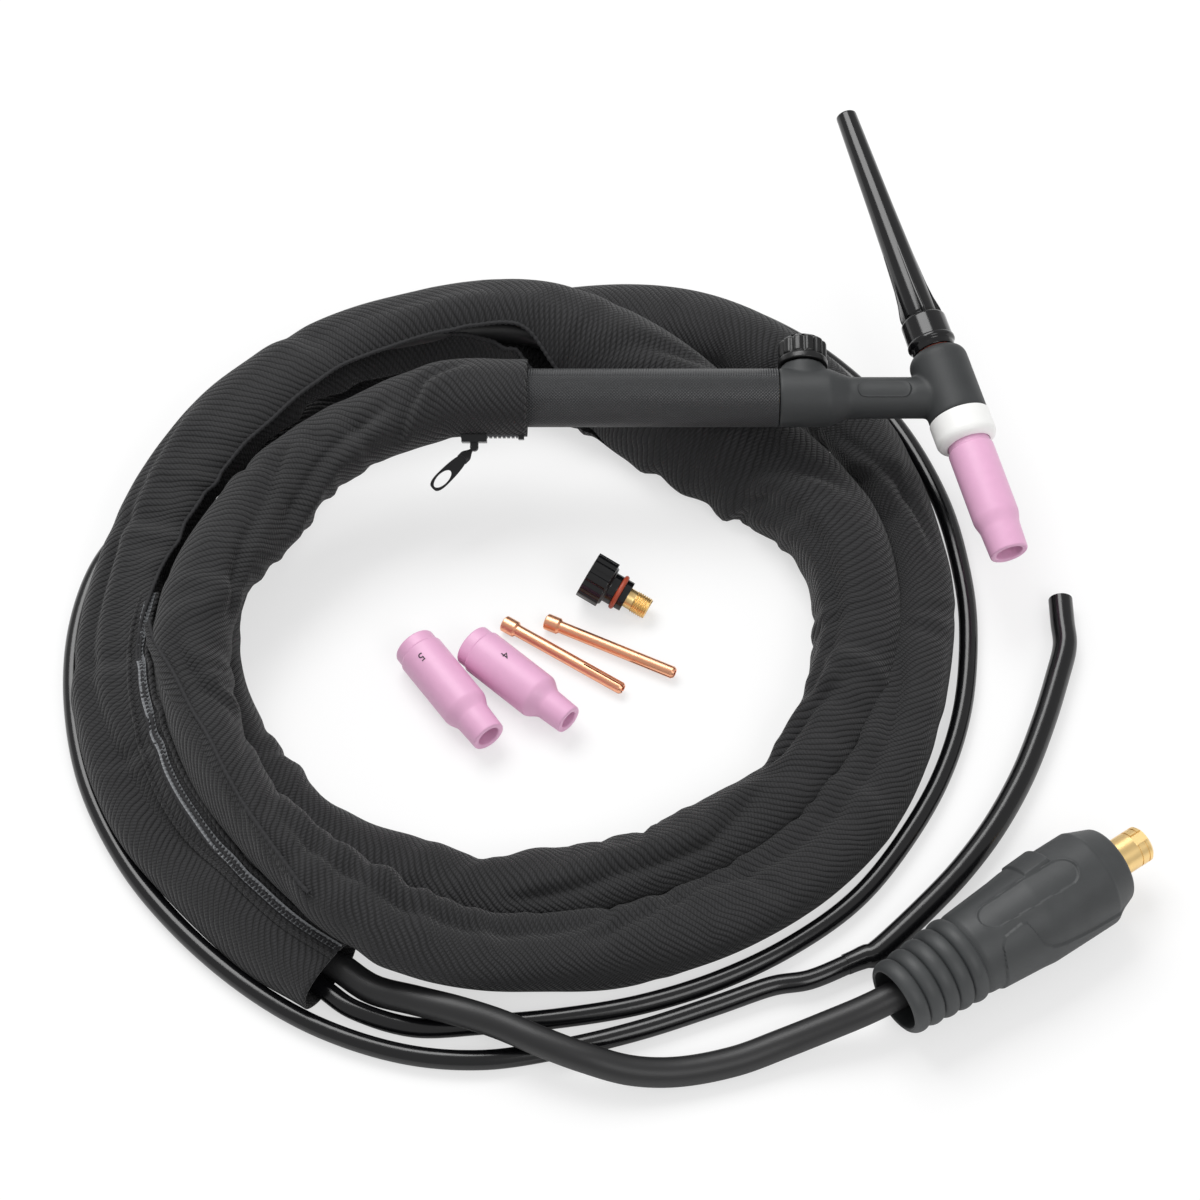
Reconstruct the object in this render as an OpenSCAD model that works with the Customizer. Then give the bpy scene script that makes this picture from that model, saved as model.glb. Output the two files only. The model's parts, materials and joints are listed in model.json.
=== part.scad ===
// TIG torch with zipped fabric sleeve, gas hose, power cable, plug and spare parts.
// Millimetres. Z is up and the ground is z = 0. Curved stretches use angles in degrees.

/* [Torch head] */
// Diameter of the rubber head
head_d = 21.6; // [20:0.2:24]
// Length of the rubber head from the neck axis to the cap side
head_cap_side = 18.7; // [17:0.1:22]
// Length of the rubber head from the neck axis to the nozzle side
head_nozzle_side = 8.7; // [8:0.1:12]
// Angle between the handle and the nozzle
head_angle = 74; // [60:1:90]
// Tilt of the torch about its handle
torch_tilt = 10; // [0:1:20]
// Height of the handle axis
torch_z = 45; // [44:1:50]
// Diameter of the brass head body
core_d = 15; // [14:0.2:16]
// Length of the white shield ring
shield_l = 11; // [10:0.5:13]
// Diameter of the white shield ring
shield_d = 22.2; // [21:0.2:24]

/* [Neck and valve] */
// Diameter of the rubber neck
neck_d = 15; // [14:0.2:17]
// Distance from the head to the valve housing's slope
neck_l = 36.7; // [34:0.1:39]
// Diameter of the valve housing
housing_d = 21; // [20:0.2:23]
// Distance from the head to the front face of the handle
handle_front = 62; // [60:1:64]
// Distance from the head to the valve axis
valve_x = 53; // [52.5:0.1:53.5]
// Diameter of the valve boss
boss_d = 16.5; // [15:0.1:17]
// Height of the valve boss over the handle axis
boss_h = 12; // [11.5:0.1:14]
// Diameter of the valve knob's grip
knob_d = 17.6; // [16:0.1:19]
// Diameter of the flange under the grip
knob_flange_d = 18.1; // [17:0.1:20]
// Height of the whole valve knob
knob_h = 10.4; // [9:0.1:13]
// Number of flutes on the valve knob
knob_flutes = 12; // [8:1:16]
// Diameter of the valve stem
stem_d = 5; // [4.6:0.1:5.4]

/* [Handle] */
// Outer diameter of the handle
handle_d = 21; // [20.6:0.1:21.4]
// Wall of the handle tube
handle_wall = 1.2; // [1:0.1:1.3]
// Length of the handle tube
handle_l = 110; // [100:1:112]

/* [Nozzles and collets] */
// Length of a ceramic nozzle
nozzle_l = 47; // [44:0.5:50]
// Barrel diameter of a ceramic nozzle
nozzle_d = 16.7; // [15.8:0.1:17.5]
// Diameter of the band at the nozzle's rear
nozzle_band_d = 15.5; // [14.6:0.1:15.6]
// Orifice of the nozzle on the torch
orifice_6 = 9.5; // [8:0.1:9.8]
// Orifice of the larger spare nozzle
orifice_5 = 8; // [7:0.1:9]
// Orifice of the smaller spare nozzle
orifice_4 = 6.4; // [5:0.1:7]
// Wall of a nozzle at its mouth
mouth_wall = 2.1; // [1.6:0.1:2.4]
// Diameter of the nozzle thread
nozzle_thread_d = 11; // [10.6:0.1:11.4]
// Length of a collet
collet_l = 50.8; // [48:0.2:51]
// Diameter of a collet's shaft
collet_d = 4.4; // [4.2:0.1:4.6]
// Diameter of a collet's head
collet_head_d = 5.9; // [5.4:0.1:6.2]
// Bore of a collet, for a 2.4 mm electrode
collet_bore = 2.5; // [2.4:0.1:2.8]

/* [Caps] */
// Length of the long cap over its collar
long_cap_l = 90; // [80:1:110]
// Diameter of the long cap's tip
cap_tip_d = 7.7; // [7:0.1:9]
// Diameter of the long cap over its collar
cap_root_d = 12; // [11:0.1:12.6]
// Diameter of the long cap's collar
collar_d = 17.6; // [17:0.1:19]
// Height of the long cap's collar
collar_h = 11.8; // [10:0.1:14]
// Diameter of the nose that carries the seal
nose_d = 11.4; // [11:0.1:11.8]
// Outer diameter of the cap seal
cap_seal_d = 13.4; // [13:0.1:14]
// Diameter of the brass thread of a cap
insert_d = 8.1; // [7.9:0.1:8.3]
// Diameter of the short cap's knob
short_knob_d = 17.3; // [16:0.1:19]
// Height of the short cap's knob
short_knob_h = 9; // [8:0.1:11]
// Number of flutes on the short cap
short_flutes = 11; // [8:1:14]

/* [Sleeve, cable and hose] */
// Width of the sleeve where it lies flat
sleeve_w = 25; // [24.6:0.2:25.2]
// Height of the sleeve where it lies flat
sleeve_h = 19; // [18:0.5:19.4]
// Thickness of the sleeve's cloth
cloth = 1.2; // [0.8:0.1:1.3]
// Width of the cuff on the handle
cuff_w = 28; // [27:0.5:29]
// Height of the cuff on the handle
cuff_h = 24.8; // [24.8:0.1:26]
// Outer diameter of the power cable
cable_d = 10; // [8:0.1:10]
// Outer diameter of the gas hose
hose_d = 6.7; // [6:0.1:6.8]
// Outer diameter of the thick hose end
hose_end_d = 8.8; // [8.4:0.1:9.4]
// Bore of the thick hose end
hose_end_bore = 5.8; // [5:0.1:6.4]
// Depth of the bore of the thick hose end
hose_end_depth = 12; // [8:1:13]

/* [Plug] */
// Diameter of the plug's rubber boot
boot_d = 34; // [31:0.5:34]
// Length of the plug's rubber boot
boot_l = 91; // [85:1:100]
// Diameter of the rearmost rib
rib_rear_d = 26; // [25:0.5:28]
// Diameter of the foremost rib
rib_front_d = 31; // [29:0.5:31]
// Number of ribs
ribs = 5; // [3:1:5]
// Spacing of the ribs
rib_pitch = 5.7; // [5:0.1:5.9]
// Bore of the boot at the cable
boot_bore = 21.2; // [18:0.2:21.6]
// Diameter of the brass pin
pin_d = 13; // [12:0.1:14]
// Length of the pin in front of the boot
pin_l = 14.3; // [13:0.1:18]
// Plain length of the pin behind its bayonet groove
pin_plain_l = 9; // [6:0.1:10]

/* [Zipper] */
// Width of the zipper's closed teeth
zip_w = 4.6; // [4:0.1:5]
// Length of the straight zipper on the cuff
zip_l = 23; // [20:0.5:24]
// Length of the zipper slider
slider_l = 9; // [8:0.2:10]
// Length of the pull tab
pull_l = 21; // [16:0.5:24]
// Width of the pull tab
pull_w = 5.5; // [5:0.1:7]
// Angle of the pull tab from the zipper
pull_angle = 45; // [30:1:60]

/* [Hidden] */
$fn = 64;

// Clearances
fit = 0.1;          // between pieces that are assembled tightly
running = 0.05;     // between a shaft and its bore
loose = 0.3;        // between soft or curved neighbours
eps = 0.01;         // overrun of a cut

// Colours
rubber_black = [0.20, 0.21, 0.21];
gloss_black = [0.08, 0.08, 0.09];
brass = [0.80, 0.62, 0.32];
copper = [0.83, 0.52, 0.36];
ptfe = [0.95, 0.95, 0.94];
alumina = [0.89, 0.67, 0.81];
seal_red = [0.78, 0.25, 0.12];
cloth_black = [0.16, 0.15, 0.15];
zinc = [0.30, 0.30, 0.30];

// Place of the torch: the point where the neck axis meets the head axis
torch_x = 142;
torch_y = 54;

module in_torch() {
    translate([torch_x, torch_y, torch_z]) rotate([torch_tilt, 0, 0]) children();
}
// z runs along the head, towards the cap
module on_head() {
    in_torch() rotate([0, 0, 90 - head_angle]) rotate([-90, 0, 0]) children();
}
// z runs along the neck and the handle, away from the head
module on_handle() {
    in_torch() rotate([0, -90, 0]) children();
}
// As on_handle, but level: cable and hose lie side by side
module in_rear() {
    translate([torch_x, torch_y, torch_z]) rotate([0, -90, 0]) children();
}
// z runs along the valve, towards the knob
module on_valve() {
    in_torch() translate([-valve_x, 0, 0]) rotate([-90, 0, 0]) children();
}

module ring(d, bore, h) {
    difference() {
        cylinder(d = d, h = h);
        translate([0, 0, -eps]) cylinder(d = bore, h = h + 2 * eps);
    }
}
module tube_from(z0, z1, d, bore) {
    translate([0, 0, z0]) ring(d, bore, z1 - z0);
}
module rod_from(z0, z1, d) {
    translate([0, 0, z0]) cylinder(d = d, h = z1 - z0);
}
module o_ring(outer_d, section, z) {
    translate([0, 0, z]) rotate_extrude()
        translate([(outer_d - section) / 2, 0]) circle(d = section, $fn = 24);
}
// Quarter circle of points round a centre, for a rounded edge
function arc(cx, cy, r, from, to, steps = 6) =
    [for (i = [0:steps]) let (a = from + (to - from) * i / steps) [cx + r * cos(a), cy + r * sin(a)]];

// Sizes that the head and the caps share
seal_h = 1.8;
seal_gap = 0.15;
nose_l = 2.5;
cap_neck_h = 1.6;
insert_rear_d = 7.3;
insert_thread_l = 6;
insert_plain_l = 2.7;
insert_bore = 3.2;
thread_pitch = 0.85;
thread_root_r = insert_d / 2 - 0.4;
cap_seat = head_cap_side + seal_gap;
collar_z = cap_seat + seal_h + cap_neck_h;
insert_tip = cap_seat - nose_l - insert_plain_l - insert_thread_l;
electrode_store_d = 3.4;
insert_in_cap = 6;
insert_end_gap = 0.2;
collar_round = 3;

// ---- Head ----
shoulder_r = 4.2;
cap_opening_d = 12.6;
cap_opening_taper = 0.6;    // the opening is this much narrower at the neck axis
cap_wall = 3.9;
core_len_cap = head_cap_side - cap_wall;
neck_tube_d = 9;
valve_body_d = 16;
housing_slope = 7.3;
pill_w = 5.4;
pill_l = 19.7;
pill_depth = 0.5;
pill_to_slope = 3;
valve_boss_core_d = 10;

module head_cover() {
    color(rubber_black) difference() {
        union() {
            on_head() rotate_extrude() polygon(concat(
                [[0, -head_nozzle_side], [head_d / 2, -head_nozzle_side]],
                arc(head_d / 2 - shoulder_r, head_cap_side - shoulder_r, shoulder_r, 0, 90, 8),
                [[0, head_cap_side]]));
            on_handle() rod_from(0, neck_l + housing_slope, neck_d);
            on_handle() translate([0, 0, neck_l])
                cylinder(d1 = neck_d, d2 = housing_d, h = housing_slope);
            on_handle() rod_from(neck_l + housing_slope, handle_front, housing_d);
            on_valve() cylinder(d = boss_d, h = boss_h);
        }
        on_head() rod_from(-head_nozzle_side - eps, core_len_cap + fit, core_d + 2 * fit);
        on_head() cylinder(d1 = cap_opening_d - cap_opening_taper, d2 = cap_opening_d,
            h = head_cap_side + eps);
        on_handle() rod_from(0, valve_body_front + eps, neck_tube_d + 2 * fit);
        on_handle() rod_from(valve_body_front - fit, handle_front + eps, valve_body_d + 2 * fit);
        on_valve() rod_from(0, boss_h + eps, valve_boss_core_d + 2 * fit);
        in_torch() translate([pill_w / 2 + pill_to_slope - neck_l, 0, neck_d / 2 - pill_depth]) {
            cylinder(d = pill_w, h = neck_d);
            translate([pill_l - pill_w, 0, 0]) cylinder(d = pill_w, h = neck_d);
            translate([0, -pill_w / 2, 0]) cube([pill_l - pill_w, pill_w, neck_d]);
        }
    }
}

core_bore = collet_head_d + 0.5;
core_inset = 0.2;       // the brass ends this far inside the rubber
spigot_d = 9.5;
spigot_top = 1.4;
gas_bore = 3;
neck_tube_in = 2;       // how deep the neck tube enters the head body

module head_core() {
    color(brass) difference() {
        on_head() rod_from(core_inset - head_nozzle_side, core_len_cap, core_d);
        on_head() rod_from(-head_nozzle_side, core_len_cap + eps, core_bore);
        on_head() rod_from(-head_nozzle_side, spigot_top + fit, spigot_d + 2 * fit);
        on_head() rod_from(insert_tip - fit, core_len_cap + eps, insert_d + 2 * fit);
        on_handle() rod_from(core_d / 2 - neck_tube_in - fit, core_d, neck_tube_d + 2 * fit);
        on_handle() rod_from(0, core_d, gas_bore);
    }
}

neck_tube_bore = 5;
neck_tube_end = 48;
valve_body_front = 44.2;
module neck_tube() {
    color(copper) on_handle()
        tube_from(core_d / 2 - neck_tube_in, neck_tube_end, neck_tube_d, neck_tube_bore);
}

// ---- Valve ----
body_spigot_d = 10;
body_spigot_end = 71;
stem_seat = 1.5;        // height of the closed stem's tip
stem_cone_l = 1.5;
seal_z = 8.9;
seal_section = 0.8;
seal_groove_h = 1.4;
stem_tip_d = 3;
stem_neck_d = 4.4;
stem_shoulder = 0.6;    // the stem's step lies this far below the knob
valve_end_gap = 0.2;
knob_top_wall = 1.6;
knob_z = boss_h + valve_end_gap;
stem_top = knob_z + knob_h - knob_top_wall;

module valve_body() {
    color(brass) difference() {
        union() {
            on_handle() rod_from(valve_body_front, handle_front - valve_end_gap, valve_body_d);
            on_handle() rod_from(handle_front - 1, body_spigot_end, body_spigot_d);
            on_valve() cylinder(d = valve_boss_core_d, h = boss_h - valve_end_gap);
        }
        on_handle() rod_from(valve_body_front - eps, neck_tube_end + fit, neck_tube_d + 2 * fit);
        on_handle() rod_from(neck_tube_end, body_spigot_end + eps, gas_bore);
        on_valve() rod_from(stem_seat - 0.5, boss_h, stem_d + 2 * running);
    }
}

module valve_stem() {
    color(brass) on_valve() difference() {
        union() {
            translate([0, 0, stem_seat]) cylinder(d1 = stem_tip_d, d2 = stem_d, h = stem_cone_l);
            rod_from(stem_seat + stem_cone_l, knob_z - stem_shoulder, stem_d);
            rod_from(knob_z - stem_shoulder - fit, stem_top, stem_neck_d);
        }
        tube_from(seal_z - seal_groove_h / 2, seal_z + seal_groove_h / 2,
            stem_d + 1, stem_d - 2 * seal_section);
    }
}

module valve_o_ring() {
    color(seal_red) on_valve() o_ring(stem_d + 0.8 * running, seal_section - running, seal_z);
}

flange_h = 2.7;
flute_depth = 0.7;
flute_w = 2.6;
grip_inset = 0.8;
crown_h = 0.9;
crown_in = [2, 3.4];    // the knob's crown is this much narrower at its foot and at its top
module fluted(d, h, count, depth, width) {
    difference() {
        cylinder(d = d, h = h);
        for (i = [0:count - 1]) rotate([0, 0, 360 * i / count])
            translate([d / 2 + width / 2 - depth, 0, -eps]) cylinder(d = width, h = h + 2 * eps, $fn = 24);
    }
}

module valve_knob() {
    color(gloss_black) on_valve() translate([0, 0, knob_z]) difference() {
        union() {
            cylinder(d = knob_flange_d, h = flange_h);
            translate([0, 0, flange_h - eps])
                fluted(knob_d, knob_h - flange_h - grip_inset, knob_flutes, flute_depth, flute_w);
            translate([0, 0, knob_h - crown_h])
                cylinder(d1 = knob_d - crown_in[0], d2 = knob_d - crown_in[1], h = crown_h);
        }
        translate([0, 0, -eps]) cylinder(d = stem_neck_d + fit, h = stem_top - knob_z + fit);
    }
}

// ---- Handle ----
handle_bore = handle_d - 2 * handle_wall;
fitting_l = 12;
fitting_z0 = handle_front + 4;
fitting_z1 = fitting_z0 + fitting_l;
cable_side = -4;        // sideways place of the cable in the handle and the sleeve
hose_side = 4.9;        // sideways place of the hose
stud_d = 6.8;
stud_l = 12;
stud_end = fitting_z1 + stud_l;
plenum_l = 3;           // gas space between the valve body and the fitting's bore
plenum_d = 2 * hose_side + gas_bore + 0.8;
lug_d = 8.8;
lug_l = 21;
lug_to_fitting = 6;
lug_z0 = fitting_z1 + lug_to_fitting;
lug_z1 = lug_z0 + lug_l;
conductor_gap = 0.5;
barb_d = 6.4;
barb_l = 14;
barb_z1 = fitting_z1 + barb_l;
barb_rings = 3;
barb_pitch = 3;
barb_step = 0.8;
clamp_d = 8.4;
clamp_over_barb = 5;
clamp_over_hose = 8;

module handle() {
    color(rubber_black) on_handle()
        tube_from(handle_front + fit, handle_front + handle_l, handle_d, handle_bore);
}

module torch_fitting() {
    color(brass) in_rear() difference() {
        union() {
            rod_from(fitting_z0, fitting_z1, handle_bore - 2 * fit);
            translate([0, cable_side, 0]) rod_from(fitting_z1 - 1, stud_end, stud_d);
        }
        rod_from(fitting_z0 - eps, body_spigot_end + fit, body_spigot_d + 2 * fit);
        rod_from(body_spigot_end, body_spigot_end + plenum_l, plenum_d);
        translate([0, hose_side, 0]) rod_from(body_spigot_end, fitting_z1 + eps, gas_bore);
    }
}

module cable_lug() {
    color(copper) in_rear() translate([0, cable_side, 0])
        tube_from(lug_z0, lug_z1, lug_d, stud_d + 2 * fit);
}
module cable_conductor() {
    color(copper) in_rear() translate([0, cable_side, 0]) rod_from(stud_end + conductor_gap, lug_z1, stud_d);
}
module hose_barb() {
    color(brass) in_rear() translate([0, hose_side, 0]) difference() {
        union() {
            rod_from(fitting_z1 + fit, barb_z1, barb_d - barb_step);
            for (i = [0:barb_rings - 1]) translate([0, 0, fitting_z1 + 4 + barb_pitch * i])
                cylinder(d1 = barb_d, d2 = barb_d - barb_step, h = 2);
        }
        rod_from(fitting_z1, barb_z1 + 1, gas_bore);
    }
}
module hose_clamp() {
    color(zinc) in_rear() translate([0, hose_side, 0])
        tube_from(barb_z1 - clamp_over_barb, barb_z1 + clamp_over_hose, clamp_d, hose_d + 2 * fit);
}

// ---- Shield, nozzle, collets ----
shield_top = -head_nozzle_side - core_inset;
shield_bottom = -head_nozzle_side - shield_l;
nozzle_seat = -17.2;
nozzle_seat_depth = 0.2;
shield_round = 3.4;
band_play = 0.25;       // between the nozzle's band and the shield

module cup_gasket() {
    color(ptfe) on_head() rotate_extrude() difference() {
        polygon(concat([[nozzle_thread_d / 2 + fit, shield_top], [shield_d / 2, shield_top]],
            arc(shield_d / 2 - shield_round, shield_bottom + shield_round, shield_round, 0, -80, 6),
            [[nozzle_thread_d / 2 + fit, shield_bottom]]));
        translate([0, shield_bottom - 1])
            square([nozzle_band_d / 2 + band_play, nozzle_seat + nozzle_seat_depth - shield_bottom + 1]);
    }
}

thread_len = 13;
body_end = -46.5;       // the collet body's tip
body_cone = 2.5;
body_d = 8.6;
body_tip_d = 5.4;
gas_holes_z = -34;
gas_hole_d = 1.6;
collet_play = 0.3;
module collet_body() {
    color(brass) on_head() difference() {
        union() {
            rod_from(-head_nozzle_side, spigot_top, spigot_d);
            rod_from(nozzle_seat - thread_len, -head_nozzle_side, nozzle_thread_d);
            rod_from(body_end + body_cone, nozzle_seat - thread_len + eps, body_d);
            translate([0, 0, body_end]) cylinder(d1 = body_tip_d, d2 = body_d, h = body_cone + eps);
        }
        rod_from(collet_tip - collet_play, spigot_top + eps, collet_d + collet_play);
        rod_from(body_end - eps, 0, collet_bore + 0.6);
        for (a = [45, 135]) translate([0, 0, gas_holes_z]) rotate([0, 90, a])
            rod_from(-body_d, body_d, gas_hole_d);
    }
}

collet_top = insert_tip - collet_play;
collet_tip = collet_top - collet_l;
collet_head_l = 5;
collet_cone = 0.8;
collet_chamfer = 0.4;
slit_l = 16.5;
slit_w = 0.5;
// Stands on its tip: z runs from the tip to the head
module collet_shape() {
    color(copper) difference() {
        union() {
            cylinder(d1 = collet_d - 1, d2 = collet_d, h = collet_cone);
            rod_from(collet_cone - eps, collet_l - collet_head_l + eps, collet_d);
            translate([0, 0, collet_l - collet_head_l - collet_cone])
                cylinder(d1 = collet_d, d2 = collet_head_d, h = collet_cone + eps);
            rod_from(collet_l - collet_head_l, collet_l - collet_chamfer, collet_head_d);
            translate([0, 0, collet_l - collet_chamfer - eps])
                cylinder(d1 = collet_head_d, d2 = collet_head_d - 2 * collet_chamfer, h = collet_chamfer);
        }
        translate([0, 0, -1]) cylinder(d = collet_bore, h = collet_l + 2);
        translate([-collet_d, -slit_w / 2, -1]) cube([2 * collet_d, slit_w, slit_l + 1]);
    }
}
module collet() {
    on_head() translate([0, 0, collet_tip]) collet_shape();
}

// Profile of a nozzle: x is the radius and y runs from its rear to its mouth
band_l = 4.3;
band_round = 1.9;
band_step = 0.5;
barrel_end = 0.675 * nozzle_l;
neck_start = 0.8 * nozzle_l;
lip_chamfer = [0.5, 0.6];
chamber_r = nozzle_thread_d / 2 - 0.2;
thread_r = nozzle_thread_d / 2 + 0.15;
module nozzle_shape(orifice) {
    barrel_r = nozzle_d / 2;
    mouth_r = orifice / 2 + mouth_wall;
    waist_r = min(mouth_r + 0.35, barrel_r - 0.5);
    slope = neck_start - barrel_end;
    color(alumina) rotate_extrude() polygon(concat(
        [[thread_r, 0]],
        arc(nozzle_band_d / 2 - band_round, band_round, band_round, -90, 0, 5),
        [[nozzle_band_d / 2, band_l], [barrel_r, band_l + band_step], [barrel_r, barrel_end],
         [barrel_r * 0.75 + waist_r * 0.25, barrel_end + 0.5 * slope],
         [barrel_r * 0.25 + waist_r * 0.75, barrel_end + 0.8 * slope],
         [waist_r, neck_start], [mouth_r, nozzle_l - lip_chamfer[1]], [mouth_r - lip_chamfer[0], nozzle_l],
         [orifice / 2, nozzle_l], [orifice / 2, neck_start - 1], [chamber_r, barrel_end - 2],
         [chamber_r, thread_len + 0.6], [thread_r, thread_len + 0.2]]));
}
module nozzle() {
    on_head() translate([0, 0, nozzle_seat]) rotate([180, 0, 0]) nozzle_shape(orifice_6);
}

// ---- Caps ----
// Seal groove, nose and neck that both caps share; z = 0 is the seal's lower side
module cap_nose(neck_h) {
    rod_from(seal_h, seal_h + neck_h, nose_d);
    rod_from(-0.1, seal_h + 0.1, cap_seal_d - 2 * seal_h - 0.2);
    rod_from(-nose_l, 0, nose_d);
}
module cap_insert() {
    color(brass) difference() {
        union() {
            rod_from(-nose_l - insert_plain_l, insert_in_cap, insert_rear_d);
            translate([0, 0, -nose_l - insert_plain_l - insert_thread_l]) rotate_extrude() polygon(concat(
                [[0, 0]],
                [for (i = [0:floor(insert_thread_l / thread_pitch) - 1]) each
                    [[thread_root_r, i * thread_pitch], [insert_d / 2, (i + 0.5) * thread_pitch]]],
                [[thread_root_r, insert_thread_l], [0, insert_thread_l]]));
        }
        rod_from(-nose_l - insert_plain_l - insert_thread_l - 1, insert_in_cap + 1, insert_bore);
    }
}
module cap_seal() {
    color(seal_red) o_ring(cap_seal_d, seal_h, seal_h / 2);
}

fin_t = 1.2;
rim = [[-0.3, 0], [0, 0.4], [0, 1.2], [-0.2, 1.4]];     // collar's lower rim, from its outer radius
// Outline of a fin over the collar: radius over or under the cap's root, height
fin_points = [[1.9, -1], [1.7, 2], [0.8, 7], [0.15, 13], [-0.5, 28]];
waists = [[0.94, 16], [0.79, 0.52 * long_cap_l]];       // share of the root's radius, height
module back_cap() {
    color(gloss_black) on_head() translate([0, 0, cap_seat]) difference() {
        union() {
            cap_nose(cap_neck_h + 0.1);
            translate([0, 0, collar_z - cap_seat]) rotate_extrude() polygon(concat(
                [[0, 0]], [for (p = rim) [collar_d / 2 + p[0], p[1]]],
                arc(collar_d / 2 - 0.5 - collar_round, collar_h - collar_round, collar_round, 0, 90),
                [[cap_root_d / 2, collar_h + 0.6]],
                [for (p = waists) [cap_root_d / 2 * p[0], collar_h + p[1]]],
                arc(cap_tip_d / 2 - 1, collar_h + long_cap_l - 1, 1, 0, 90, 4),
                [[0, collar_h + long_cap_l + 0.2]]));
            for (a = [0:90:270]) translate([0, 0, collar_z - cap_seat + collar_h]) rotate([90, 0, a])
                translate([0, 0, -fin_t / 2]) linear_extrude(fin_t) polygon(concat([[2, -1]],
                    [for (p = fin_points) [cap_root_d / 2 + p[0], p[1]]], [[2, 28]]));
        }
        rod_from(-nose_l - eps, insert_in_cap + insert_end_gap, insert_rear_d + fit);
        cylinder(d = electrode_store_d, h = collar_h + long_cap_l);
    }
}
module back_cap_o_ring() {
    on_head() translate([0, 0, cap_seat]) cap_seal();
}
module back_cap_insert() {
    on_head() translate([0, 0, cap_seat]) cap_insert();
}

// ---- Paths of the sleeve, the cable and the hose ----
ring_x = -14;       // middle of the coiled sleeve
ring_y = -17;
cuff_start = 152;   // from the head to the cuff's edge
// Points of the coil: angle, radius, height
coil = [[116, 76, 43], [126, 79, 40.5], [138, 84, 37], [150, 89, 33.5], [164, 95, 31], [177, 103.5, 30],
    [190, 111, 29.5], [202, 117, 29.5], [213, 122.5, 29.5], [224, 127, 29], [235, 130.5, 28],
    [244, 133, 27], [253, 136, 24.5], [262, 138, 19], [271, 137.7, 13], [282, 137.9, 8.7],
    [292, 138.6, 8.7], [302, 141, 8.7], [313, 143.2, 8.7], [325, 143.6, 8.7], [337, 143.6, 8.7],
    [348, 143.8, 8.7], [360, 144, 8.7], [370, 144.8, 8.7], [380, 146.8, 8.7], [391, 148.8, 8.7],
    [401, 149.8, 8.7], [411, 150.6, 8.7], [421, 148.5, 8.7], [432, 142.5, 8.7], [444, 135, 8.7],
    [457, 127.5, 8.7], [471, 121, 8.7], [486, 114.5, 8.7], [500, 109.5, 8.7], [516, 107.5, 8.7],
    [532, 108.5, 8.7], [549, 109.5, 8.7], [565, 109.5, 8.7], [581, 110, 8.7], [596, 110.5, 8.7],
    [610, 111, 8.7], [624, 111.5, 8.7], [638, 112, 8.7], [652, 112.5, 8.7], [666, 113.5, 8.7],
    [679, 115.5, 8.7], [693, 116.5, 8.7], [707, 117.5, 8.7], [720, 118, 8.7], [733, 117, 12],
    [745, 113.5, 16], [758, 108.5, 21], [773, 106.5, 24.5], [787, 110, 28], [801, 115, 30.5],
    [813, 119.5, 31], [826, 122, 30.5], [838, 124.5, 29.5], [850, 127.5, 27], [863, 130.5, 23],
    [876, 134, 17.5], [889, 137, 12], [902, 139.5, 8.7], [915, 142, 8.7], [928, 143.5, 8.7],
    [940, 145.5, 8.7]];
mouth_from = [-95, -143, 8.7];
mouth = [-73, -159, 8.7];
cuff_l = 26;
cuff_pts = [[torch_x - cuff_start, torch_y, torch_z], [torch_x - cuff_start - cuff_l, torch_y, torch_z]];
function on_ring(p) = [ring_x + p[1] * cos(p[0]), ring_y + p[1] * sin(p[0]), p[2]];
sleeve_path = concat(cuff_pts, [for (p = coil) on_ring(p)], [mouth_from, mouth]);

function unit(v) = v / norm(v);
function heading(path, i) = unit(path[min(i + 1, len(path) - 1)] - path[max(i - 1, 0)]);
function sideways(path, i) = unit(cross(heading(path, i), [0, 0, 1]));
function upwards(path, i) = cross(sideways(path, i), heading(path, i));
// One ring of a tube: n corners on an ellipse w wide and h high
function section(path, i, w, h, n) = [for (k = [0:n - 1]) let (a = 360 * (k + 0.5) / n)
    path[i] + sideways(path, i) * (w / 2 * cos(a)) + upwards(path, i) * (h / 2 * sin(a))];
// Triangles of the wall between rings, from ring 0 of the point list at offset o
function wall(rings, n, o = 0) = [for (i = [0:rings - 2], k = [0:n - 1])
    let (a = o + i * n + k, b = o + i * n + (k + 1) % n)
    each [[a, b, b + n], [a, b + n, a + n]]];
function flipped(faces) = [for (f = faces) [f[0], f[2], f[1]]];

cord_sides = 8;
module cord(path, d) {
    rings = len(path);
    pts = [for (i = [0:rings - 1]) each section(path, i, d, d, cord_sides)];
    last = (rings - 1) * cord_sides;
    polyhedron(points = pts, faces = concat(wall(rings, cord_sides),
        [for (k = [1:cord_sides - 2]) [0, k + 1, k]],
        [for (k = [1:cord_sides - 2]) [last, last + k, last + k + 1]]));
}

// Shape of the sleeve's cross-section, which changes from the cuff to the flat sleeve
blend_rings = 7;
sleeve_sides = 12;
function cuff_share(i) = max(0, 1 - max(0, i - 1) / blend_rings);
function sleeve_wide(i) = sleeve_w + (cuff_w - sleeve_w) * cuff_share(i);
function sleeve_high(i) = sleeve_h + (cuff_h - sleeve_h) * cuff_share(i);
function above_ground(pts) = [for (p = pts) [p[0], p[1], max(p[2], 0)]];
function sleeve_outer(path, i) = above_ground(section(path, i, sleeve_wide(i), sleeve_high(i), sleeve_sides));
function sleeve_inner(path, i) =
    section(path, i, sleeve_wide(i) - 2 * cloth, sleeve_high(i) - 2 * cloth, sleeve_sides);

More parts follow.
